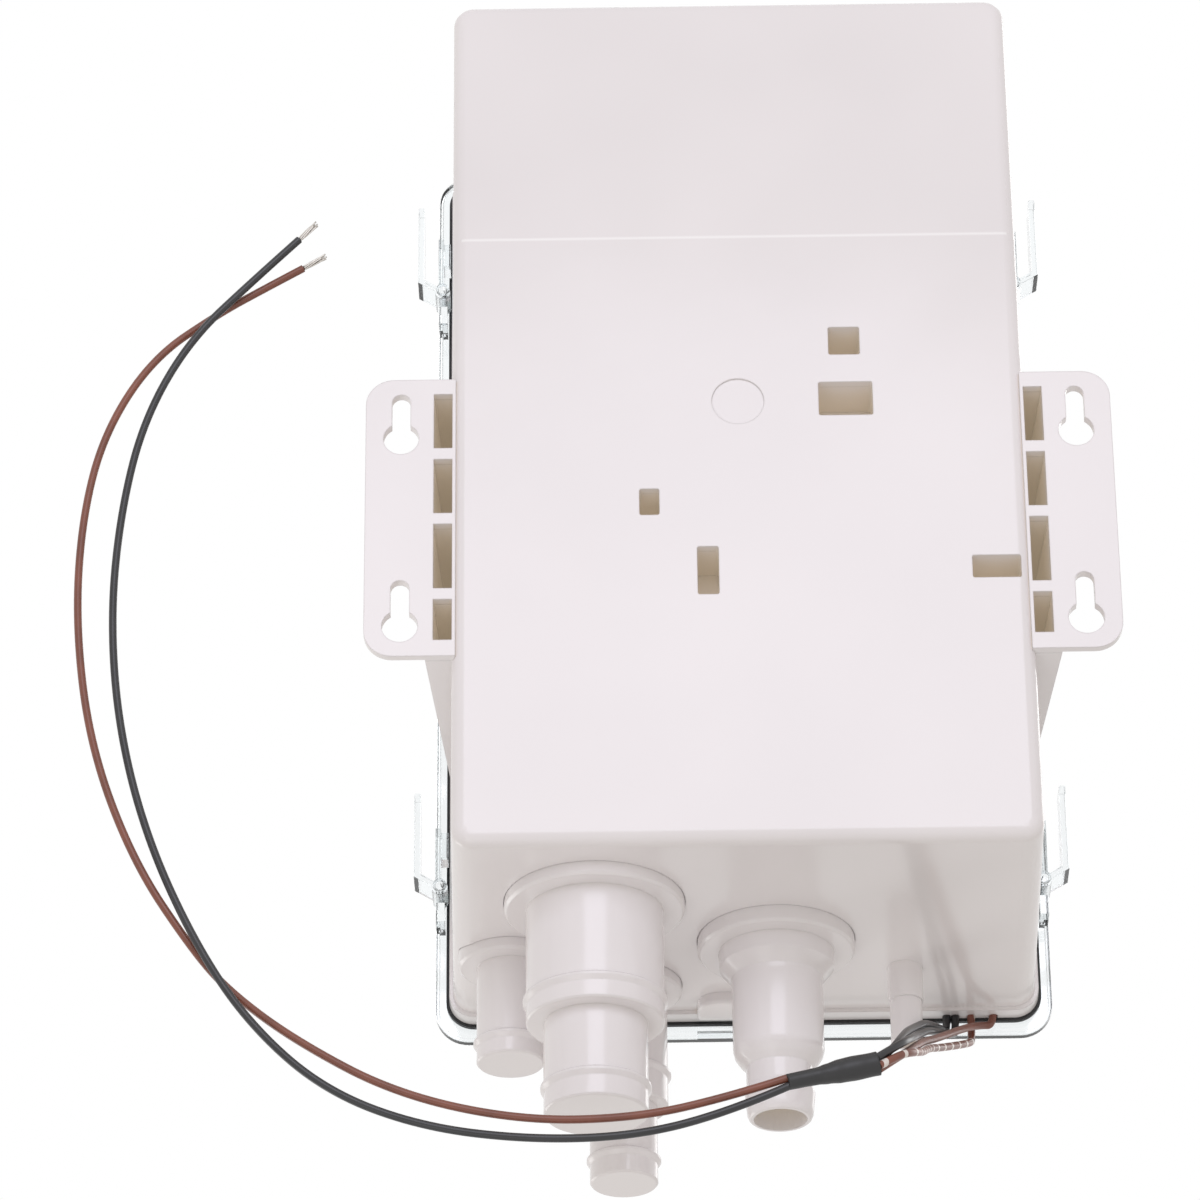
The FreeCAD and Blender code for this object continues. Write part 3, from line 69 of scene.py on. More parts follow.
camera_data = bpy.data.cameras.new("camera")
camera_data.sensor_width = sensor_mm
camera_data.lens = focal_pixels / image_pixels * sensor_mm
camera_data.clip_start = 0.05
camera_data.clip_end = 50.0
camera = bpy.data.objects.new("camera", camera_data)
bpy.context.scene.collection.objects.link(camera)
level = Matrix(((-1, 0, 0),
                (0, -math.cos(camera_pitch), math.sin(camera_pitch)),
                (0, math.sin(camera_pitch), math.cos(camera_pitch))))
yaw = Matrix(((math.cos(camera_yaw), 0, math.sin(camera_yaw)),
              (0, 1, 0),
              (-math.sin(camera_yaw), 0, math.cos(camera_yaw))))
roll = Matrix(((math.cos(camera_roll), -math.sin(camera_roll), 0),
               (math.sin(camera_roll), math.cos(camera_roll), 0),
               (0, 0, 1)))
right, down, ahead = (roll @ yaw @ level)
turn = Matrix((right, -down, -ahead)).transposed().to_4x4()
camera.matrix_world = Matrix.Translation(camera_place) @ turn
bpy.context.scene.camera = camera

# Wires from the rim to the splice
# Four single wires, 2.2 mm over their extruded PVC insulation, leave the tub through notches in its rim,
# hang beside the vent stub and go into a sleeve that lies in front of the tub.
wire_radius = 1.1 * MM
tub_height = 108.5
wire_level = tub_height - 1.1 - 0.15
rim_front = -(97.4 + 0.026 * tub_height) + 1.8
black_pump_route = [(-58.0, rim_front, wire_level), (-58.0, -106.4, wire_level), (-56.0, -108.6, 100.0),
                    (-49.9, -118.9, 73.0), (-46.2, -127.1, 58.0), (-42.7, -140.1, 32.1), (-39.9, -150.8, 13.5),
                    (-37.2, -157.1, 6.6), (-33.0, -161.1, 5.1)]
black_float_route = [(-60.5, rim_front, wire_level), (-60.5, -106.8, wire_level), (-58.6, -110.4, 100.0),
                     (-50.9, -121.2, 73.0), (-47.4, -129.2, 58.0), (-44.4, -142.0, 31.9), (-42.2, -151.4, 12.5),
                     (-38.6, -156.8, 4.6), (-33.0, -161.1, 2.7)]
striped_route = [(-65.0, rim_front, wire_level), (-65.0, -109.0, wire_level), (-63.8, -113.2, 100.0),
                 (-53.8, -126.7, 73.0), (-49.7, -133.5, 58.0), (-46.8, -146.5, 31.9), (-44.1, -155.2, 12.5),
                 (-39.4, -159.3, 4.6), (-33.5, -163.5, 2.7)]
brown_route = [(-71.4, rim_front, wire_level), (-71.4, -104.4, wire_level), (-67.4, -105.2, 105.2),
               (-62.4, -109.0, 98.6), (-52.5, -124.0, 73.0), (-48.5, -131.4, 58.0), (-45.1, -144.5, 32.1),
               (-41.7, -154.6, 13.5), (-38.1, -159.7, 6.6), (-33.5, -163.5, 5.1)]


def colour(code):
    """Linear RGBA from an sRGB hex code."""
    values = [int(code[i:i + 2], 16) / 255 for i in (1, 3, 5)]
    return [v / 12.92 if v <= 0.04045 else ((v + 0.055) / 1.055) ** 2.4 for v in values] + [1.0]


def add(tree, kind, settings=None, inputs=None):
    """Adds one node to a shader or geometry tree, with its settings, and its inputs as values or links."""
    made = tree.nodes.new(kind)
    for key, value in (settings or {}).items():
        setattr(made, key, value)
    for key, value in (inputs or {}).items():
        socket = made.inputs[key]
        if isinstance(value, bpy.types.NodeSocket):
            tree.links.new(value, socket)
        else:
            socket.default_value = value
    return made


def new_material(name):
    """An empty material with its output node: (material, tree, output)."""
    material = bpy.data.materials.new(name)
    material.use_nodes = True
    tree = material.node_tree
    tree.nodes.clear()
    return material, tree, add(tree, "ShaderNodeOutputMaterial")


def spots(size):
    """Noise scale whose spots are about this many millimetres across."""
    return 1 / (size * MM)


def wire_pvc(name, code, gloss):
    """Extruded PVC insulation: satin, with a faint drawn grain and slow changes of tone along it."""
    material, tree, output = new_material(name)
    place = add(tree, "ShaderNodeTexCoord")
    tone = add(tree, "ShaderNodeTexNoise",
               inputs={"Vector": place.outputs["Object"], "Scale": spots(11.11), "Detail": 3.0})
    shade = add(tree, "ShaderNodeMapRange", inputs={"Value": tone.outputs["Fac"], "From Min": 0.3, "From Max": 0.7,
                                                    "To Min": 0.8, "To Max": 1.25})
    base = add(tree, "ShaderNodeVectorMath", {"operation": "SCALE"},
               {0: colour(code)[:3], "Scale": shade.outputs["Result"]})
    grain = add(tree, "ShaderNodeTexNoise", inputs={"Vector": place.outputs["Object"], "Scale": spots(0.5556)})
    bump = add(tree, "ShaderNodeBump", inputs={"Height": grain.outputs["Fac"], "Strength": 0.12,
                                               "Distance": 0.1 * MM})
    shader = add(tree, "ShaderNodeBsdfPrincipled",
                 inputs={"Base Color": base.outputs["Vector"], "Roughness": gloss, "IOR": 1.53,
                         "Normal": bump.outputs["Normal"]})
    tree.links.new(shader.outputs["BSDF"], output.inputs["Surface"])
    return material


black_pvc = wire_pvc("black_pvc_insulation", "#2b2b2d", 0.33)
brown_pvc = wire_pvc("brown_pvc_insulation", "#7d4a3a", 0.36)

# The white bands face this way, start this many millimetres apart along it, and fill this share
band_way = Vector((0.85, -0.45, -0.92)).normalized()
band_pitch = 7.5135
band_share = 0.2


def striped_pvc():
    """The same brown PVC with printed white bands: slanting rings under 2 mm wide, one every 8 mm or so."""
    material = brown_pvc.copy()
    material.name = "striped_pvc_insulation"
    tree = material.node_tree
    shader = next(n for n in tree.nodes if n.type == "BSDF_PRINCIPLED")
    base = shader.inputs["Base Color"].links[0].from_socket
    place = add(tree, "ShaderNodeTexCoord")
    along = add(tree, "ShaderNodeVectorMath", {"operation": "DOT_PRODUCT"},
                {0: place.outputs["Object"], 1: band_way / (band_pitch * MM)})
    turn_part = add(tree, "ShaderNodeMath", {"operation": "FRACT"}, {0: along.outputs["Value"]})
    band = add(tree, "ShaderNodeMath", {"operation": "LESS_THAN"}, {0: turn_part.outputs["Value"], 1: band_share})
    mix = add(tree, "ShaderNodeMix", {"data_type": "RGBA"},
              {"Factor": band.outputs["Value"], 6: base, 7: colour("#e9e2dc")})
    tree.links.new(mix.outputs[2], shader.inputs["Base Color"])
    return material


def lay_wire(node, route, material):
    """A smooth round cord whose control points are the route, in millimetres, in place of its CAD node."""
    data = bpy.data.curves.new(node + "_insulation", "CURVE")
    data.dimensions = "3D"
    data.resolution_u = 12
    data.bevel_depth = wire_radius
    data.bevel_resolution = 6
    data.use_fill_caps = True
    spline = data.splines.new("NURBS")
    spline.points.add(len(route) - 1)
    for point, place in zip(spline.points, route):
        point.co = (*(Vector(place) * MM), 1.0)
    spline.order_u = 3
    spline.use_endpoint_u = True
    data.materials.append(material)
    wire = bpy.data.objects.new(node + "_insulation", data)
    bpy.context.scene.collection.objects.link(wire)
    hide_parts(node)
    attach(wire, "tub_body")
    return wire, Vector(route[0]) * MM


rim_wires = [lay_wire("wire_black_pump", black_pump_route, black_pvc),
             lay_wire("wire_black_float", black_float_route, black_pvc),
             lay_wire("wire_striped", striped_route, striped_pvc()),
             lay_wire("wire_brown", brown_route, brown_pvc)]

# Supply leads
# One brown and one black lead, each about 0.43 m of the same PVC wire, lie on the floor in a wide bow round
# the tub's side. The brown one passes over the black one twice.
lead_level = 1.15
brown_lead_route = [(-8.8, -167.0, 2.3), (6.0, -172.2, 1.8), (31.0, -178.4, lead_level), (62.0, -178.8, lead_level),
                    (95.0, -170.6, lead_level), (122.0, -154.6, 1.3), (140.0, -138.6, 4.6), (150.4, -125.8, 4.6),
                    (166.6, -101.0, 1.4), (179.4, -66.0, lead_level), (184.8, -28.0, lead_level),
                    (184.2, 6.0, lead_level), (178.8, 34.0, lead_level), (165.8, 58.6, 1.5), (147.6, 75.0, 4.6),
                    (135.6, 82.6, 4.6), (123.6, 88.6, 2.6)]
black_lead_route = [(-9.4, -169.2, 2.3), (6.0, -176.4, 1.8), (30.0, -183.4, lead_level), (58.0, -184.4, lead_level),
                    (88.0, -180.3, lead_level), (114.0, -169.3, lead_level), (134.2, -149.8, lead_level),
                    (149.2, -126.0, lead_level), (163.2, -94.0, lead_level), (171.9, -60.0, lead_level),
                    (175.2, -25.0, lead_level), (173.4, 8.0, lead_level), (167.8, 38.0, lead_level),
                    (155.6, 64.0, lead_level), (138.2, 83.4, lead_level), (124.9, 97.4, lead_level)]
supply_leads = [lay_wire("lead_brown", brown_lead_route, brown_pvc),
                lay_wire("lead_black", black_lead_route, black_pvc)]

# Splice sleeve
# Black heat-shrink tube over the crimped joints: wide where it takes the four wires,
# shrunk tight on the two leads, with the crimps showing as low lumps.
sleeve_wide_end = Vector((-33.25, -162.3, 3.9)) * MM
sleeve_narrow_end = Vector((-9.1, -168.1, 2.3)) * MM
sleeve_profile = [(0.0, 3.35), (0.08, 3.3), (0.25, 3.4), (0.42, 3.2), (0.56, 2.75), (0.68, 2.35), (0.85, 2.25),
                  (1.0, 2.2)]
sleeve_wall = 0.45
sleeve_rings = 48
sleeve_sides = 40
crimps = ((0.36, 0.12, 2.2, 0.35), (0.5, 0.08, -1.1, 0.3))


def between(profile, at):
    """Smoothly interpolated radius at a place along a profile of (place, radius)."""
    for (a, ra), (b, rb) in zip(profile, profile[1:]):
        if at <= b:
            t = (at - a) / (b - a)
            return ra + (rb - ra) * t * t * (3 - 2 * t)
    return profile[-1][1]


def sleeve_mesh():
    """A tube with a rolled lip at each end; the surface swells over two crimps and wrinkles where it necks in."""
    axis = sleeve_narrow_end - sleeve_wide_end
    side = axis.cross(Vector((0, 0, 1))).normalized()
    over = side.cross(axis).normalized()
    mesh = bmesh.new()
    rings = []
    outline = [(n / sleeve_rings, 0.0) for n in range(sleeve_rings + 1)]
    outline = [(0.06, -sleeve_wall), (0.0, -sleeve_wall)] + outline + [(1.0, -sleeve_wall), (0.94, -sleeve_wall)]
    for at, inset in outline:
        ring = []
        for n in range(sleeve_sides):
            angle = 2 * math.pi * n / sleeve_sides
            lump = sum(math.exp(-((at - middle) / spread) ** 2) * max(0.0, math.cos(angle - facing)) * height
                       for middle, spread, facing, height in crimps)
            wrinkle = 0.07 * math.sin(3 * angle + 9 * at) * math.exp(-((at - 0.6) / 0.14) ** 2)
            flat = 1.0 - 0.08 * (1 - at) * abs(math.sin(angle))
            reach = ((between(sleeve_profile, at) + inset) * flat + lump + wrinkle) * MM
            ring.append(mesh.verts.new(sleeve_wide_end + axis * at
                                       + side * math.cos(angle) * reach + over * math.sin(angle) * reach))
        rings.append(ring)
    for first, second in zip(rings, rings[1:]):
        for n in range(sleeve_sides):
            m = (n + 1) % sleeve_sides
            mesh.faces.new((first[n], first[m], second[m], second[n]))
    for ring in (rings[0], rings[-1]):
        centre = mesh.verts.new(sum((v.co for v in ring), Vector()) / sleeve_sides)
        for n in range(sleeve_sides):
            mesh.faces.new((ring[n], ring[(n + 1) % sleeve_sides], centre))
    bmesh.ops.recalc_face_normals(mesh, faces=mesh.faces)
    for face in mesh.faces:
        face.smooth = True
    return mesh


def heat_shrink():
    """Shrunk polyolefin: dark, low gloss, with a slightly dimpled skin."""
    material, tree, output = new_material("black_heat_shrink")
    place = add(tree, "ShaderNodeTexCoord")
    dimple = add(tree, "ShaderNodeTexNoise",
                 inputs={"Vector": place.outputs["Object"], "Scale": spots(2.381), "Detail": 3.0})
    bump = add(tree, "ShaderNodeBump", inputs={"Height": dimple.outputs["Fac"], "Strength": 0.35,
                                               "Distance": 0.3 * MM})
    rough = add(tree, "ShaderNodeMapRange", inputs={"Value": dimple.outputs["Fac"], "To Min": 0.34, "To Max": 0.55})
    shader = add(tree, "ShaderNodeBsdfPrincipled",
                 inputs={"Base Color": colour("#2c2c2d"), "Roughness": rough.outputs["Result"], "IOR": 1.5,
                         "Normal": bump.outputs["Normal"]})
    tree.links.new(shader.outputs["BSDF"], output.inputs["Surface"])
    return material


shrunk_tube = sleeve_mesh()
sleeve_data = bpy.data.meshes.new("heat_shrink_sleeve")
shrunk_tube.to_mesh(sleeve_data)
shrunk_tube.free()
sleeve_data.materials.append(heat_shrink())
sleeve = bpy.data.objects.new("heat_shrink_sleeve", sleeve_data)
bpy.context.scene.collection.objects.link(sleeve)
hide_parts("splice_sleeve")
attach(sleeve, "tub_body")

# Stripped ends of the leads
# Seven tinned copper strands show past the insulation of each lead: six laid round a seventh, lightly
# twisted, cut to uneven lengths and a little spread at the tip.
strand_sizes = {"Strands": 7, "Strand Radius": 0.24 * MM, "Lay Radius": 0.5 * MM, "Length": 7.5 * MM,
                "Twist": -1.6, "Spread": 0.22 * MM}
strand_steps = 12
strand_sides = 8


def tinned_copper():
    """Tinned copper strand: bright grey metal, brushed along the wire."""
    material, tree, output = new_material("tinned_copper_strand")
    place = add(tree, "ShaderNodeTexCoord")
    streak = add(tree, "ShaderNodeTexNoise", inputs={"Vector": place.outputs["Object"], "Scale": spots(0.6667)})
    rough = add(tree, "ShaderNodeMapRange", inputs={"Value": streak.outputs["Fac"], "To Min": 0.25, "To Max": 0.5})
    shader = add(tree, "ShaderNodeBsdfPrincipled",
                 inputs={"Base Color": colour("#c9c4bd"), "Metallic": 1.0, "Roughness": rough.outputs["Result"]})
    tree.links.new(shader.outputs["BSDF"], output.inputs["Surface"])
    return material


def strand_tree(metal):
    """One strand repeated round a middle one, and the bundle set on each stripped end along the lead's axis."""
    tree = bpy.data.node_groups.new("strand_bundle", "GeometryNodeTree")
    tree.interface.new_socket("Ends", in_out="INPUT", socket_type="NodeSocketGeometry")
    sockets = {}
    for name in strand_sizes:
        kind = "NodeSocketInt" if name == "Strands" else "NodeSocketFloat"
        sockets[name] = tree.interface.new_socket(name, in_out="INPUT", socket_type=kind).identifier
    tree.interface.new_socket("Bundles", in_out="OUTPUT", socket_type="NodeSocketGeometry")
    given = add(tree, "NodeGroupInput").outputs

    # A straight rod one metre long is repeated for each strand and drawn down to its own length
    rod = add(tree, "GeometryNodeMeshCylinder", {"fill_type": "NGON"},
              {"Vertices": strand_sides, "Side Segments": strand_steps, "Radius": given["Strand Radius"],
               "Depth": 1.0})
    smooth = add(tree, "GeometryNodeSetShadeSmooth", inputs={"Geometry": rod.outputs["Mesh"]})
    starts = add(tree, "GeometryNodePoints", inputs={"Count": given["Strands"]})
    laid = add(tree, "GeometryNodeInstanceOnPoints",
               inputs={"Points": starts.outputs["Points"], "Instance": smooth.outputs["Geometry"]})
    index = add(tree, "GeometryNodeInputIndex")
    numbered = add(tree, "GeometryNodeStoreNamedAttribute", {"data_type": "INT", "domain": "INSTANCE"},
                   {"Geometry": laid.outputs["Instances"], "Name": "strand", "Value": index.outputs["Index"]})
    separate = add(tree, "GeometryNodeRealizeInstances", inputs={"Geometry": numbered.outputs["Geometry"]})
    strand = add(tree, "GeometryNodeInputNamedAttribute", {"data_type": "INT"}, {"Name": "strand"})
    rod_place = add(tree, "GeometryNodeInputPosition")
    rod_split = add(tree, "ShaderNodeSeparateXYZ", inputs={"Vector": rod_place.outputs["Position"]})

    value = {name: given[name] for name in strand_sizes}
    value["strand"] = strand.outputs["Attribute"]
    value.update({"rod " + letter.lower(): rod_split.outputs[letter] for letter in "XYZ"})
    for name, operation, *terms in (("along", "ADD", "rod z", 0.5),
                                    ("round the middle", "SUBTRACT", "Strands", 1.0),
                                    ("is outer", "LESS_THAN", "strand", "round the middle"),
                                    ("share of turn", "DIVIDE", "strand", "round the middle"),
                                    ("twist so far", "MULTIPLY", "Twist", "along"),
                                    ("angle", "MULTIPLY_ADD", "share of turn", -2 * math.pi, "twist so far"),
                                    ("every third", "MODULO", "strand", 3.0),
                                    ("lean", "SUBTRACT", "every third", 0.4),
                                    ("opening", "MULTIPLY", "along", "along"),
                                    ("lean so far", "MULTIPLY", "lean", "opening"),
                                    ("off axis", "MULTIPLY_ADD", "lean so far", "Spread", "Lay Radius"),
                                    ("offset", "MULTIPLY", "off axis", "is outer"),
                                    ("every fourth", "MODULO", "strand", 4.0),
                                    ("cut", "MULTIPLY_ADD", "every fourth", -0.06, 1.0),
                                    ("own length", "MULTIPLY", "cut", "Length"),
                                    ("z", "MULTIPLY", "own length", "along"),
                                    ("cosine", "COSINE", "angle"), ("sine", "SINE", "angle"),
                                    ("x", "MULTIPLY_ADD", "cosine", "offset", "rod x"),
                                    ("y", "MULTIPLY_ADD", "sine", "offset", "rod y")):
        terms = {n: value[term] if isinstance(term, str) else term for n, term in enumerate(terms)}
        value[name] = add(tree, "ShaderNodeMath", {"operation": operation}, terms).outputs["Value"]
    place = add(tree, "ShaderNodeCombineXYZ", inputs={"X": value["x"], "Y": value["y"], "Z": value["z"]})
    wound = add(tree, "GeometryNodeSetPosition",
                inputs={"Geometry": separate.outputs["Geometry"], "Position": place.outputs["Vector"]})

    # The bundle points along the lead, and its first strand lies level beside the middle one
    axis = add(tree, "GeometryNodeInputNamedAttribute", {"data_type": "FLOAT_VECTOR"}, {"Name": "axis"})
    aim = add(tree, "FunctionNodeAlignRotationToVector", {"axis": "Z"}, {"Vector": axis.outputs["Attribute"]})
    beside = add(tree, "ShaderNodeVectorMath", {"operation": "CROSS_PRODUCT"},
                 {0: axis.outputs["Attribute"], 1: (0, 0, 1)})
    turned = add(tree, "FunctionNodeAlignRotationToVector", {"axis": "X", "pivot_axis": "Z"},
                 {"Rotation": aim.outputs["Rotation"], "Vector": beside.outputs["Vector"]})
    on_ends = add(tree, "GeometryNodeInstanceOnPoints",
                  inputs={"Points": given["Ends"], "Instance": wound.outputs["Geometry"],
                          "Rotation": turned.outputs["Rotation"]})
    real = add(tree, "GeometryNodeRealizeInstances", inputs={"Geometry": on_ends.outputs["Instances"]})
    dressed = add(tree, "GeometryNodeSetMaterial", inputs={"Geometry": real.outputs["Geometry"], "Material": metal})
    add(tree, "NodeGroupOutput", inputs={"Bundles": dressed.outputs["Geometry"]})
    return tree, sockets


lead_routes = (brown_lead_route, black_lead_route)
stripped_ends = bpy.data.meshes.new("stripped_ends")
stripped_ends.from_pydata([Vector(route[-1]) * MM for route in lead_routes], [], [])
end_axes = stripped_ends.attributes.new("axis", "FLOAT_VECTOR", "POINT")
for entry, route in zip(end_axes.data, lead_routes):
    entry.vector = (Vector(route[-1]) - Vector(route[-2])).normalized()
holder = bpy.data.objects.new("stripped_ends", stripped_ends)
bpy.context.scene.collection.objects.link(holder)
strand_metal = tinned_copper()
bundle_tree, bundle_sockets = strand_tree(strand_metal)
modifier = holder.modifiers.new("strands", "NODES")
modifier.node_group = bundle_tree
for name, size in strand_sizes.items():
    modifier[bundle_sockets[name]] = size
evaluated = holder.evaluated_get(bpy.context.evaluated_depsgraph_get())
strand_data = bpy.data.meshes.new_from_object(evaluated)
strand_data.name = "tinned_strands"
holder.modifiers.remove(modifier)
bpy.data.objects.remove(holder)
strands = bpy.data.objects.new("tinned_strands", strand_data)
bpy.context.scene.collection.objects.link(strands)
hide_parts("lead_conductors")
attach(strands, "tub_body")


def curve_length(cord):
    """Length of a cord's own line, in metres."""
    plain = cord.data.copy()
    plain.bevel_depth = 0.0
    measured = bpy.data.objects.new("measure", plain)
    bpy.context.scene.collection.objects.link(measured)
    mesh = bpy.data.meshes.new_from_object(measured.evaluated_get(bpy.context.evaluated_depsgraph_get()))
    length = sum((mesh.vertices[e.vertices[0]].co - mesh.vertices[e.vertices[1]].co).length for e in mesh.edges)
    bpy.data.objects.remove(measured)
    bpy.data.meshes.remove(mesh)
    return length


for wire, start in rim_wires:
    curve_length(wire)
for lead, start in supply_leads:
    curve_length(lead)

# Tub
# One injection-moulded box of off-white ABS from a polished tool: glossy and very slightly wavy. Its deep cores get a
# painted warm shade and a painted glow in place of the light that bounces between the walls. It is drawn without the
# planes that divide its solids.
abs_white = "#f1eeef"
# Painted warm shade and painted glow for the deep cores, in place of bounced light
painted_cavity_shade = "#ece2d2"
painted_cavity_glow = "#e6dccb"
crease_y = 95.7
# Width and top of the painted highlight line along the crease
crease_highlight_width = 0.7
crease_highlight_top = 0.3
floor_plate_side = 77.6
floor_plate_front = -94.4
floor_plate_rear = 177.3
vent_x = -45.0
vent_z = 78.3
real_edge = math.radians(32)


def round_edges(tree, radius):
    """Normal that softens edges as a moulding's edges are softened; the radius is in millimetres."""
    return add(tree, "ShaderNodeBevel", {"samples": 4}, {"Radius": radius * MM}).outputs["Normal"]


def glossy_abs():
    """Polished ABS: the eye sees soft, slightly uneven reflections. The cavities get a painted warm shade and a
    painted glow, and the crease gets a painted highlight line.
    """
    material, tree, output = new_material("moulded_glossy_abs")
    place = add(tree, "ShaderNodeTexCoord")
    flow = add(tree, "ShaderNodeTexNoise",
               inputs={"Vector": place.outputs["Object"], "Scale": spots(71.43), "Detail": 2.0})
    shade = add(tree, "ShaderNodeMapRange", inputs={"Value": flow.outputs["Fac"], "From Min": 0.3, "From Max": 0.7,
                                                    "To Min": 0.975, "To Max": 1.02})
    base = add(tree, "ShaderNodeVectorMath", {"operation": "SCALE"},
               {0: colour(abs_white)[:3], "Scale": shade.outputs["Result"]})

    # Deep cores get a painted warm shade and a painted glow, strongest where the occlusion is deepest, in place of
    # light bounced between and through the walls
    hidden = add(tree, "ShaderNodeAmbientOcclusion", {"samples": 6, "only_local": True}, {"Distance": 30 * MM})
    painted_shade_mask = add(tree, "ShaderNodeMapRange", inputs={"Value": hidden.outputs["AO"], "From Min": 0.38, "From Max": 0.06,
                                                    "To Min": 0.0, "To Max": 1.0})
    painted_warm_shade = add(tree, "ShaderNodeMix", {"data_type": "RGBA"},
               {"Factor": painted_shade_mask.outputs["Result"], 6: base.outputs["Vector"], 7: colour(painted_cavity_shade)})
    painted_glow = add(tree, "ShaderNodeMath", {"operation": "MULTIPLY"}, {0: painted_shade_mask.outputs["Result"], 1: 0.08})

    # Painted highlight: a fine white line painted along the crease across the floor, in place of the light it catches
    split = add(tree, "ShaderNodeSeparateXYZ", inputs={"Vector": place.outputs["Object"]})
    off_line = add(tree, "ShaderNodeMath", {"operation": "SUBTRACT"}, {0: split.outputs["Y"], 1: crease_y * MM})
    off_line = add(tree, "ShaderNodeMath", {"operation": "ABSOLUTE"}, {0: off_line.outputs["Value"]})
    line = add(tree, "ShaderNodeMapRange", inputs={"Value": off_line.outputs["Value"], "From Min": 0.0,
                                                   "From Max": crease_highlight_width * MM, "To Min": 1.0, "To Max": 0.0})
    low = add(tree, "ShaderNodeMath", {"operation": "LESS_THAN"}, {0: split.outputs["Z"], 1: crease_highlight_top * MM})
    line = add(tree, "ShaderNodeMath", {"operation": "MULTIPLY"},
               {0: line.outputs["Result"], 1: low.outputs["Value"]})
    painted_highlight_mix = add(tree, "ShaderNodeMix", {"data_type": "RGBA"},
              {"Factor": line.outputs["Value"], 6: painted_warm_shade.outputs[2], 7: (1, 1, 1, 1)})

    # The polished skin is a little wavy
    wave = add(tree, "ShaderNodeTexNoise",
               inputs={"Vector": place.outputs["Object"], "Scale": spots(33.33), "Detail": 2.0})
    bump = add(tree, "ShaderNodeBump", inputs={"Height": wave.outputs["Fac"], "Strength": 0.25, "Distance": 0.6 * MM,
                                               "Normal": round_edges(tree, 0.5)})
    rough = add(tree, "ShaderNodeMapRange", inputs={"Value": wave.outputs["Fac"], "To Min": 0.12, "To Max": 0.24})
    shader = add(tree, "ShaderNodeBsdfPrincipled",
                 inputs={"Base Color": painted_highlight_mix.outputs[2], "Roughness": rough.outputs["Result"], "IOR": 1.52,
                         "Normal": bump.outputs["Normal"], "Emission Color": colour(painted_cavity_glow),
                         "Emission Strength": painted_glow.outputs["Value"]})
    tree.links.new(shader.outputs["BSDF"], output.inputs["Surface"])
    return material


def soft_normals(mesh):
    """Smooth shading up to the real edges; wide flat faces keep their own direction."""
    facing = [face.normal.copy() for face in mesh.polygons]
    weight = [face.area for face in mesh.polygons]
    around = [[] for _ in mesh.vertices]
    for face in mesh.polygons:
        for vertex in face.vertices:
            around[vertex].append(face.index)
    nearest = math.cos(real_edge)
    normals = []
    for face in mesh.polygons:
        own = facing[face.index]
        for vertex in face.vertices:
            total = Vector()
            for other in around[vertex]:
                if facing[other].dot(own) > nearest:
                    total += facing[other] * weight[other]
            normals.append(total.normalized() if total.length > 0 else own)
    for face in mesh.polygons:
        face.use_smooth = True
    mesh.normals_split_custom_set(normals)


def lies_in(face, planes):
    """Whether a face looks along one of the (direction, level in mm) planes and lies in it."""
    return any(face.normal.dot(way) > 0.99 and all(abs(v.co.dot(way) / MM - level) < 0.01 for v in face.verts)
               for way, level in planes)


def dress(names, material, planes=()):
    """Shows CAD pieces as merged copies with smooth curves and their finish.

    Where a piece's solids touch face to face, the faces in the given planes are left out.
    """
    for name in names:
        source = frame["nodes"][name]
        mesh = bmesh.new()
        mesh.from_mesh(source.data)
        bmesh.ops.delete(mesh, geom=[face for face in mesh.faces if lies_in(face, planes)], context="FACES")
        bmesh.ops.remove_doubles(mesh, verts=mesh.verts, dist=0.001 * MM)
        bmesh.ops.dissolve_degenerate(mesh, edges=mesh.edges, dist=0.002 * MM)
        bmesh.ops.split_edges(mesh, edges=[edge for edge in mesh.edges
                                           if len(edge.link_faces) != 2 or edge.calc_face_angle(0) > real_edge])
        data = bpy.data.meshes.new(name + "_surface")
        mesh.to_mesh(data)
        mesh.free()
        data.materials.clear()
        data.materials.append(material)
        soft_normals(data)
        piece = bpy.data.objects.new(name + "_surface", data)
        bpy.context.scene.collection.objects.link(piece)
        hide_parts(name)
        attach(piece, source["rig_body"])


across, along, up = Vector((1, 0, 0)), Vector((0, 1, 0)), Vector((0, 0, 1))
tub_planes = [(way * sign, level * sign) for sign in (1, -1)
              for way, level in ((across, floor_plate_side), (across, -floor_plate_side), (along, floor_plate_front),
                                 (along, floor_plate_rear), (along, crease_y), (across, vent_x), (up, vent_z))]
shell_abs = glossy_abs()
dress(["tub"], shell_abs, tub_planes)

# Hose fittings and vent nipple
# Mouldings in the tub's own white ABS, each glued into its seat in the front wall. The three inlets are still
# closed at the end, to be cut where the hose goes on; the outlet has its hose tail inside.
dress(["inlet_fitting_38_28", "inlet_fitting_25_19", "inlet_fitting_19", "outlet_fitting",
       "outlet_hose_tail", "vent_nipple"], shell_abs)


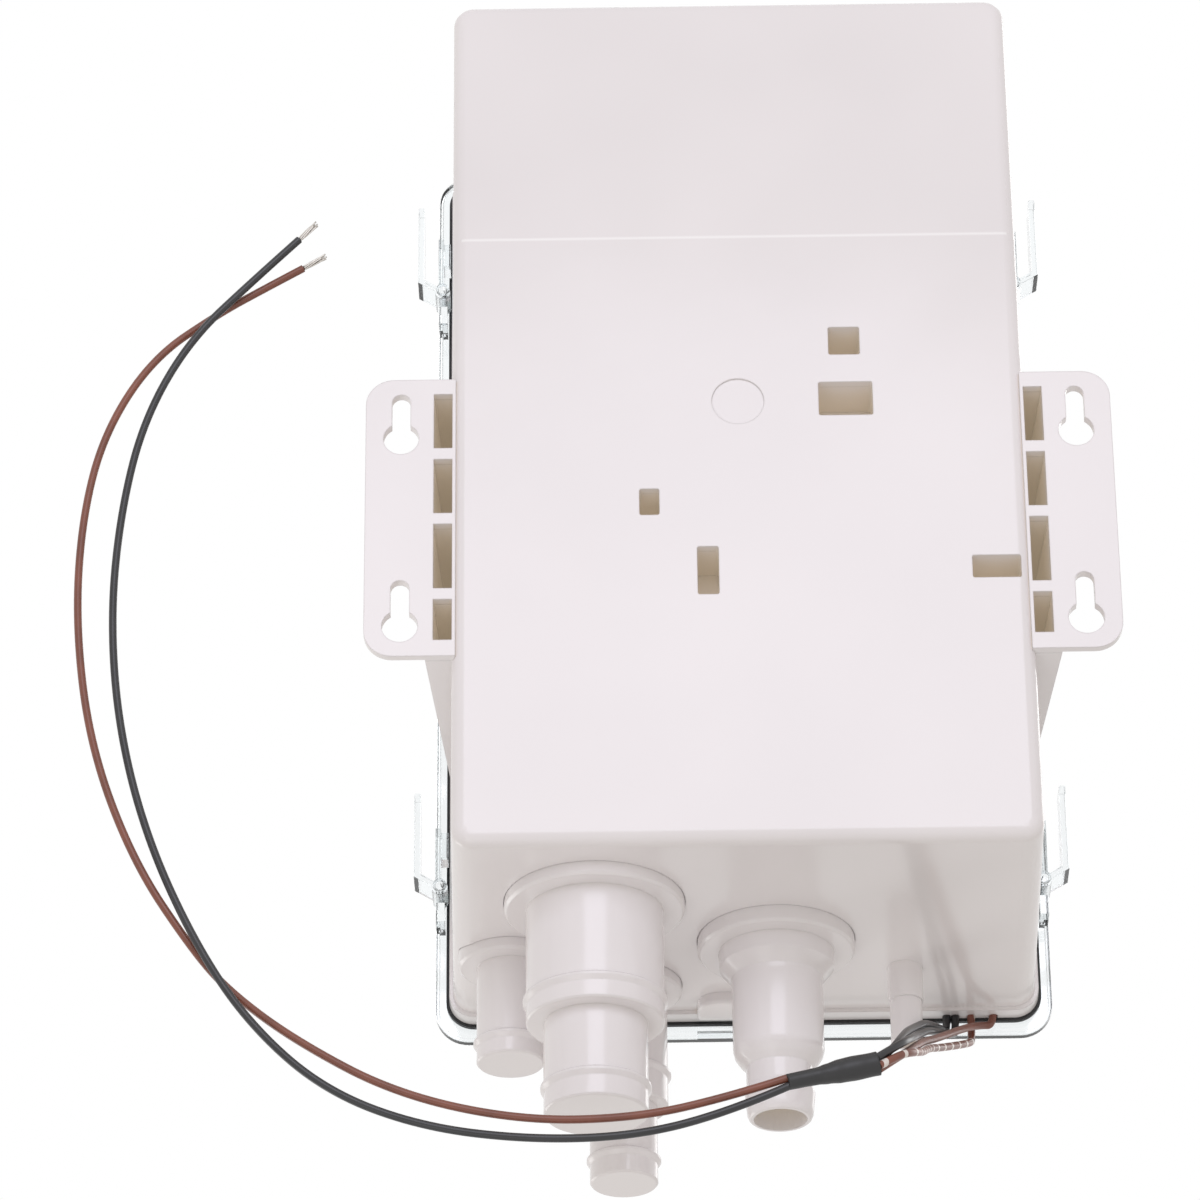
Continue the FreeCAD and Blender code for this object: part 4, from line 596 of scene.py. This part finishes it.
# Rim gasket
# A flat ring of soft black nitrile rubber that lies between the lid and the rim bead. Moulded rubber is dark
# and nearly matt, so the eye sees it as a plain black line.
def moulded(name, code, roughness):
    """Moulded plastic or rubber with a fine sparked grain, a little uneven in tone."""
    material, tree, output = new_material(name)
    place = add(tree, "ShaderNodeTexCoord")
    tone = add(tree, "ShaderNodeTexNoise",
               inputs={"Vector": place.outputs["Object"], "Scale": spots(28.57), "Detail": 3.0})
    shade = add(tree, "ShaderNodeMapRange", inputs={"Value": tone.outputs["Fac"], "From Min": 0.3, "From Max": 0.7,
                                                    "To Min": 0.9, "To Max": 1.08})
    base = add(tree, "ShaderNodeVectorMath", {"operation": "SCALE"},
               {0: colour(code)[:3], "Scale": shade.outputs["Result"]})
    pits = add(tree, "ShaderNodeTexNoise",
               inputs={"Vector": place.outputs["Object"], "Scale": spots(1.111), "Detail": 2.0})
    bump = add(tree, "ShaderNodeBump", inputs={"Height": pits.outputs["Fac"], "Strength": 0.15, "Distance": 0.2 * MM,
                                               "Normal": round_edges(tree, 0.4)})
    rough = add(tree, "ShaderNodeMapRange", inputs={"Value": tone.outputs["Fac"], "To Min": roughness - 0.06,
                                                    "To Max": roughness + 0.06})
    shader = add(tree, "ShaderNodeBsdfPrincipled",
                 inputs={"Base Color": base.outputs["Vector"], "Roughness": rough.outputs["Result"],
                         "Normal": bump.outputs["Normal"]})
    tree.links.new(shader.outputs["BSDF"], output.inputs["Surface"])
    return material


nitrile_rubber = moulded("nitrile_rubber", "#1d1d1e", 0.55)
dress(["rim_gasket"], nitrile_rubber)


# Lid and latches
# Clear injection-moulded polycarbonate: a cover with a raised panel, and four springy latches that turn on
# pins moulded on its edge and grip under the rim bead.
def clear_polycarbonate():
    """Clear polycarbonate: smooth, faintly wavy, with a trace of cool tint. Light reaches what is under it."""
    material, tree, output = new_material("clear_polycarbonate")
    place = add(tree, "ShaderNodeTexCoord")
    wave = add(tree, "ShaderNodeTexNoise",
               inputs={"Vector": place.outputs["Object"], "Scale": spots(22.22), "Detail": 2.0})
    bump = add(tree, "ShaderNodeBump", inputs={"Height": wave.outputs["Fac"], "Strength": 0.1, "Distance": 0.4 * MM,
                                               "Normal": round_edges(tree, 0.3)})
    shader = add(tree, "ShaderNodeBsdfPrincipled",
                 inputs={"Base Color": colour("#f6f9fa"), "Roughness": 0.05, "IOR": 1.58,
                         "Transmission Weight": 1.0, "Normal": bump.outputs["Normal"]})
    path = add(tree, "ShaderNodeLightPath")
    indirect = add(tree, "ShaderNodeMath", {"operation": "MAXIMUM"},
                   {0: path.outputs["Is Shadow Ray"], 1: path.outputs["Is Diffuse Ray"]})
    through = add(tree, "ShaderNodeBsdfTransparent", inputs={"Color": colour("#f2f7f8")})
    surface = add(tree, "ShaderNodeMixShader", inputs={"Fac": indirect.outputs["Value"], 1: shader.outputs["BSDF"],
                                                      2: through.outputs["BSDF"]})
    tree.links.new(surface.outputs["Shader"], output.inputs["Surface"])
    return material


dress(["lid", "latch_rear_right", "latch_rear_left", "latch_front_right", "latch_front_left"],
      clear_polycarbonate())

# Filter screen
# A frame and a perforated sheet of satin grey polypropylene that slide as one between the guide ribs and keep
# hair out of the pump.
dress(["filter_screen_frame", "filter_screen_mesh"], moulded("grey_polypropylene", "#6d7276", 0.4))


# Pump base and release tabs
# A slotted basket of satin black polypropylene, held to the tub floor by snap hooks, with two springy tabs
# that let the cartridge go. Its solids meet in upright planes through the pump's axis.
pump_centre = Vector((12.7, 47.2, 0))
base_slots = 26
base_cuts = (0, 2, 4, 6, 8, 11, 13, 15, 17, 19, 21, 24)
tab_angles = (140.0, 320.0)
tab_cut = 7.6
base_wall_top = 17.6


def wedge_planes(angles):
    """Both sides of the upright planes through the pump's axis at the given angles."""
    planes = []
    for angle in angles:
        way = Vector((-math.sin(math.radians(angle)), math.cos(math.radians(angle)), 0))
        level = way.dot(pump_centre)
        planes += [(way, level), (-way, -level)]
    return planes


base_angles = [(n + 0.5) * 360 / base_slots for n in base_cuts]
base_angles += [angle + way * tab_cut for angle in tab_angles for way in (-1, 1)]
black_plastic = moulded("black_polypropylene", "#26272a", 0.42)
dress(["pump_strainer_base"], black_plastic, wedge_planes(base_angles) + [(up, base_wall_top)])
dress(["pump_release_tab_1", "pump_release_tab_2"], black_plastic)

# Pump volute and impeller
# The bowl with its hose barb is satin white polypropylene, the impeller dark grey ABS. A nitrile o-ring seals
# the bowl to the motor housing and a nitrile lip seal runs on the shaft.
volute_angles = [10 + 45 * n for n in range(8)]
volute_floor = 24.0
volute_top = 37.0
white_plastic = moulded("white_polypropylene", "#dfdfdc", 0.38)
dark_abs = moulded("dark_grey_abs", "#45484c", 0.36)
dress(["pump_volute"], white_plastic, wedge_planes(volute_angles) + [(-up, -volute_floor), (up, volute_top)])
dress(["pump_impeller"], dark_abs)
dress(["pump_o_ring", "pump_shaft_seal"], nitrile_rubber)

# Motor housing and cap
# A ribbed shell of moulded dark grey ABS that stands on the bowl and its o-ring. A cap of the bowl's white
# polypropylene closes it and holds the gland of the leads.
dress(["pump_motor_housing"], dark_abs)
dress(["pump_cap"], white_plastic)


# Motor
# A drawn stainless can with two magnets, and in it the shaft, its wound and commutated armature, two sintered
# bearings and a brush end cap of brown phenolic board.
def machined(name, code, roughness):
    """Turned or rolled metal: mirror-like, broken up by fine tool marks."""
    material, tree, output = new_material(name)
    place = add(tree, "ShaderNodeTexCoord")
    marks = add(tree, "ShaderNodeTexNoise",
                inputs={"Vector": place.outputs["Object"], "Scale": spots(1.4286), "Detail": 4.0})
    rough = add(tree, "ShaderNodeMapRange", inputs={"Value": marks.outputs["Fac"], "To Min": roughness - 0.08,
                                                    "To Max": roughness + 0.1})
    shader = add(tree, "ShaderNodeBsdfPrincipled",
                 inputs={"Base Color": colour(code), "Metallic": 1.0, "Roughness": rough.outputs["Result"],
                         "Normal": round_edges(tree, 0.2)})
    tree.links.new(shader.outputs["BSDF"], output.inputs["Surface"])
    return material


stainless_steel = machined("stainless_steel", "#c4c5c7", 0.26)
dress(["motor_shaft", "motor_can"], stainless_steel)
dress(["motor_armature", "motor_magnets"], machined("motor_iron", "#5c5d60", 0.5))
dress(["motor_bearings"], machined("sintered_bronze", "#a07a45", 0.45))
dress(["motor_brush_endcap"], moulded("phenolic_board", "#6b4526", 0.5))

# Discharge hose and clamps
# Soft milky vinyl hose, extruded and cut to length, between the pump and the outlet's tail. A clamp of
# stainless strip holds it at each end.
dress(["discharge_hose"], moulded("soft_vinyl", "#c9ccc8", 0.35))
dress(["hose_clamps"], stainless_steel)

# Outlet flap valve
# A moulded nitrile flap that hangs from a stainless pin in the outlet. It swings out of the way of the
# pumped water and stops it running back.
dress(["outlet_valve_flap"], nitrile_rubber)
dress(["outlet_valve_pin"], stainless_steel)

# Float switch
# A black polypropylene base held to the floor by two stainless screws, and a hollow white float that swings
# up on a pin as the water rises.
dress(["float_switch_base"], black_plastic)
dress(["float_switch_float"], white_plastic)
dress(["float_switch_pin", "float_switch_screws"], stainless_steel)

# Leads inside the tub
# Single wires in the same extruded black PVC as outside, two of the pump and two of the float switch. They run
# up to the notches in the rim.
dress(["pump_leads", "float_leads"], black_pvc)

# Stage and light
# A pale floor just under the part that fades into the white round it. When the camera is below it, as for
# the photograph, it lets everything through. Soft lamps stand above it and below it.
floor_drop = 1.2 * MM
floor_half = 3.0
fade_start = 0.5
fade_end = 2.6
floor_mesh = bpy.data.meshes.new("floor")
floor_mesh.from_pydata([(-floor_half, -floor_half, -floor_drop), (floor_half, -floor_half, -floor_drop),
                        (floor_half, floor_half, -floor_drop), (-floor_half, floor_half, -floor_drop)],
                       [], [(0, 1, 2, 3)])
floor = bpy.data.objects.new("floor", floor_mesh)
bpy.context.scene.collection.objects.link(floor)
floor_material, tree, output = new_material("pale_floor")
eye = add(tree, "ShaderNodeVectorTransform",
          {"vector_type": "POINT", "convert_from": "CAMERA", "convert_to": "WORLD"}, {"Vector": (0, 0, 0)})
eye_place = add(tree, "ShaderNodeSeparateXYZ", inputs={"Vector": eye.outputs["Vector"]})
below = add(tree, "ShaderNodeMath", {"operation": "LESS_THAN"}, {0: eye_place.outputs["Z"], 1: -floor_drop})
spot = add(tree, "ShaderNodeNewGeometry")
away = add(tree, "ShaderNodeVectorMath", {"operation": "LENGTH"}, {0: spot.outputs["Position"]})
fade = add(tree, "ShaderNodeMapRange", {"interpolation_type": "SMOOTHSTEP"},
           {"Value": away.outputs["Value"], "From Min": fade_start, "From Max": fade_end})
see_through = add(tree, "ShaderNodeMath", {"operation": "MAXIMUM"},
                  {0: below.outputs["Value"], 1: fade.outputs["Result"]})
paint = add(tree, "ShaderNodeBsdfPrincipled", inputs={"Base Color": colour("#d6d7d8"), "Roughness": 0.7})
clear = add(tree, "ShaderNodeBsdfTransparent")
choice = add(tree, "ShaderNodeMixShader", inputs={"Fac": see_through.outputs["Value"], 1: paint.outputs["BSDF"],
                                                 2: clear.outputs["BSDF"]})
tree.links.new(choice.outputs["Shader"], output.inputs["Surface"])
floor_mesh.materials.append(floor_material)

# The white round the part is seen at full strength, and lights it more softly and a little warmer
world_light = 0.62
world_tint = (1.0, 0.94, 0.89, 1)
world = bpy.data.worlds.new("studio")
world.use_nodes = True
bpy.context.scene.world = world
tree = world.node_tree
tree.nodes.clear()
path = add(tree, "ShaderNodeLightPath")
seen = add(tree, "ShaderNodeMath", {"operation": "MAXIMUM"},
           {0: path.outputs["Is Camera Ray"], 1: path.outputs["Is Glossy Ray"]})
seen = add(tree, "ShaderNodeMath", {"operation": "MAXIMUM"},
           {0: seen.outputs["Value"], 1: path.outputs["Is Transmission Ray"]})
strength = add(tree, "ShaderNodeMapRange",
               inputs={"Value": seen.outputs["Value"], "To Min": world_light, "To Max": 1.0})
tint = add(tree, "ShaderNodeMix", {"data_type": "RGBA"},
           {"Factor": seen.outputs["Value"], 6: world_tint, 7: (1, 1, 1, 1)})
sky = add(tree, "ShaderNodeBackground", inputs={"Color": tint.outputs[2], "Strength": strength.outputs["Result"]})
add(tree, "ShaderNodeOutputWorld", inputs={"Surface": sky.outputs["Background"]})

lamp_size = 1.0
part_middle = (0, 0, 0.05)


def soft_lamp(name, place, aim, power, tint=(1, 1, 1)):
    """A square soft lamp that points at a spot on the part."""
    data = bpy.data.lights.new(name, "AREA")
    data.shape = "SQUARE"
    data.size = lamp_size
    data.energy = power
    data.color = tint
    lamp = bpy.data.objects.new(name, data)
    bpy.context.scene.collection.objects.link(lamp)
    lamp.location = place
    lamp.rotation_mode = "QUATERNION"
    lamp.rotation_quaternion = (Vector(aim) - Vector(place)).to_track_quat("-Z", "Y")


soft_lamp("lamp_under_rear", (0.0, 0.52, -1.5), (0, 0.52, 0.0), 8.0, (0.86, 0.86, 1.0))
soft_lamp("lamp_under_front", (0.7, -1.5, -1.2), part_middle, 2.6)
soft_lamp("lamp_over_front", (1.6, -0.9, 1.4), part_middle, 6.5)
soft_lamp("lamp_over_rear", (-1.1, 1.0, 1.5), part_middle, 5.0)

bpy.context.scene.view_settings.view_transform = "Standard"
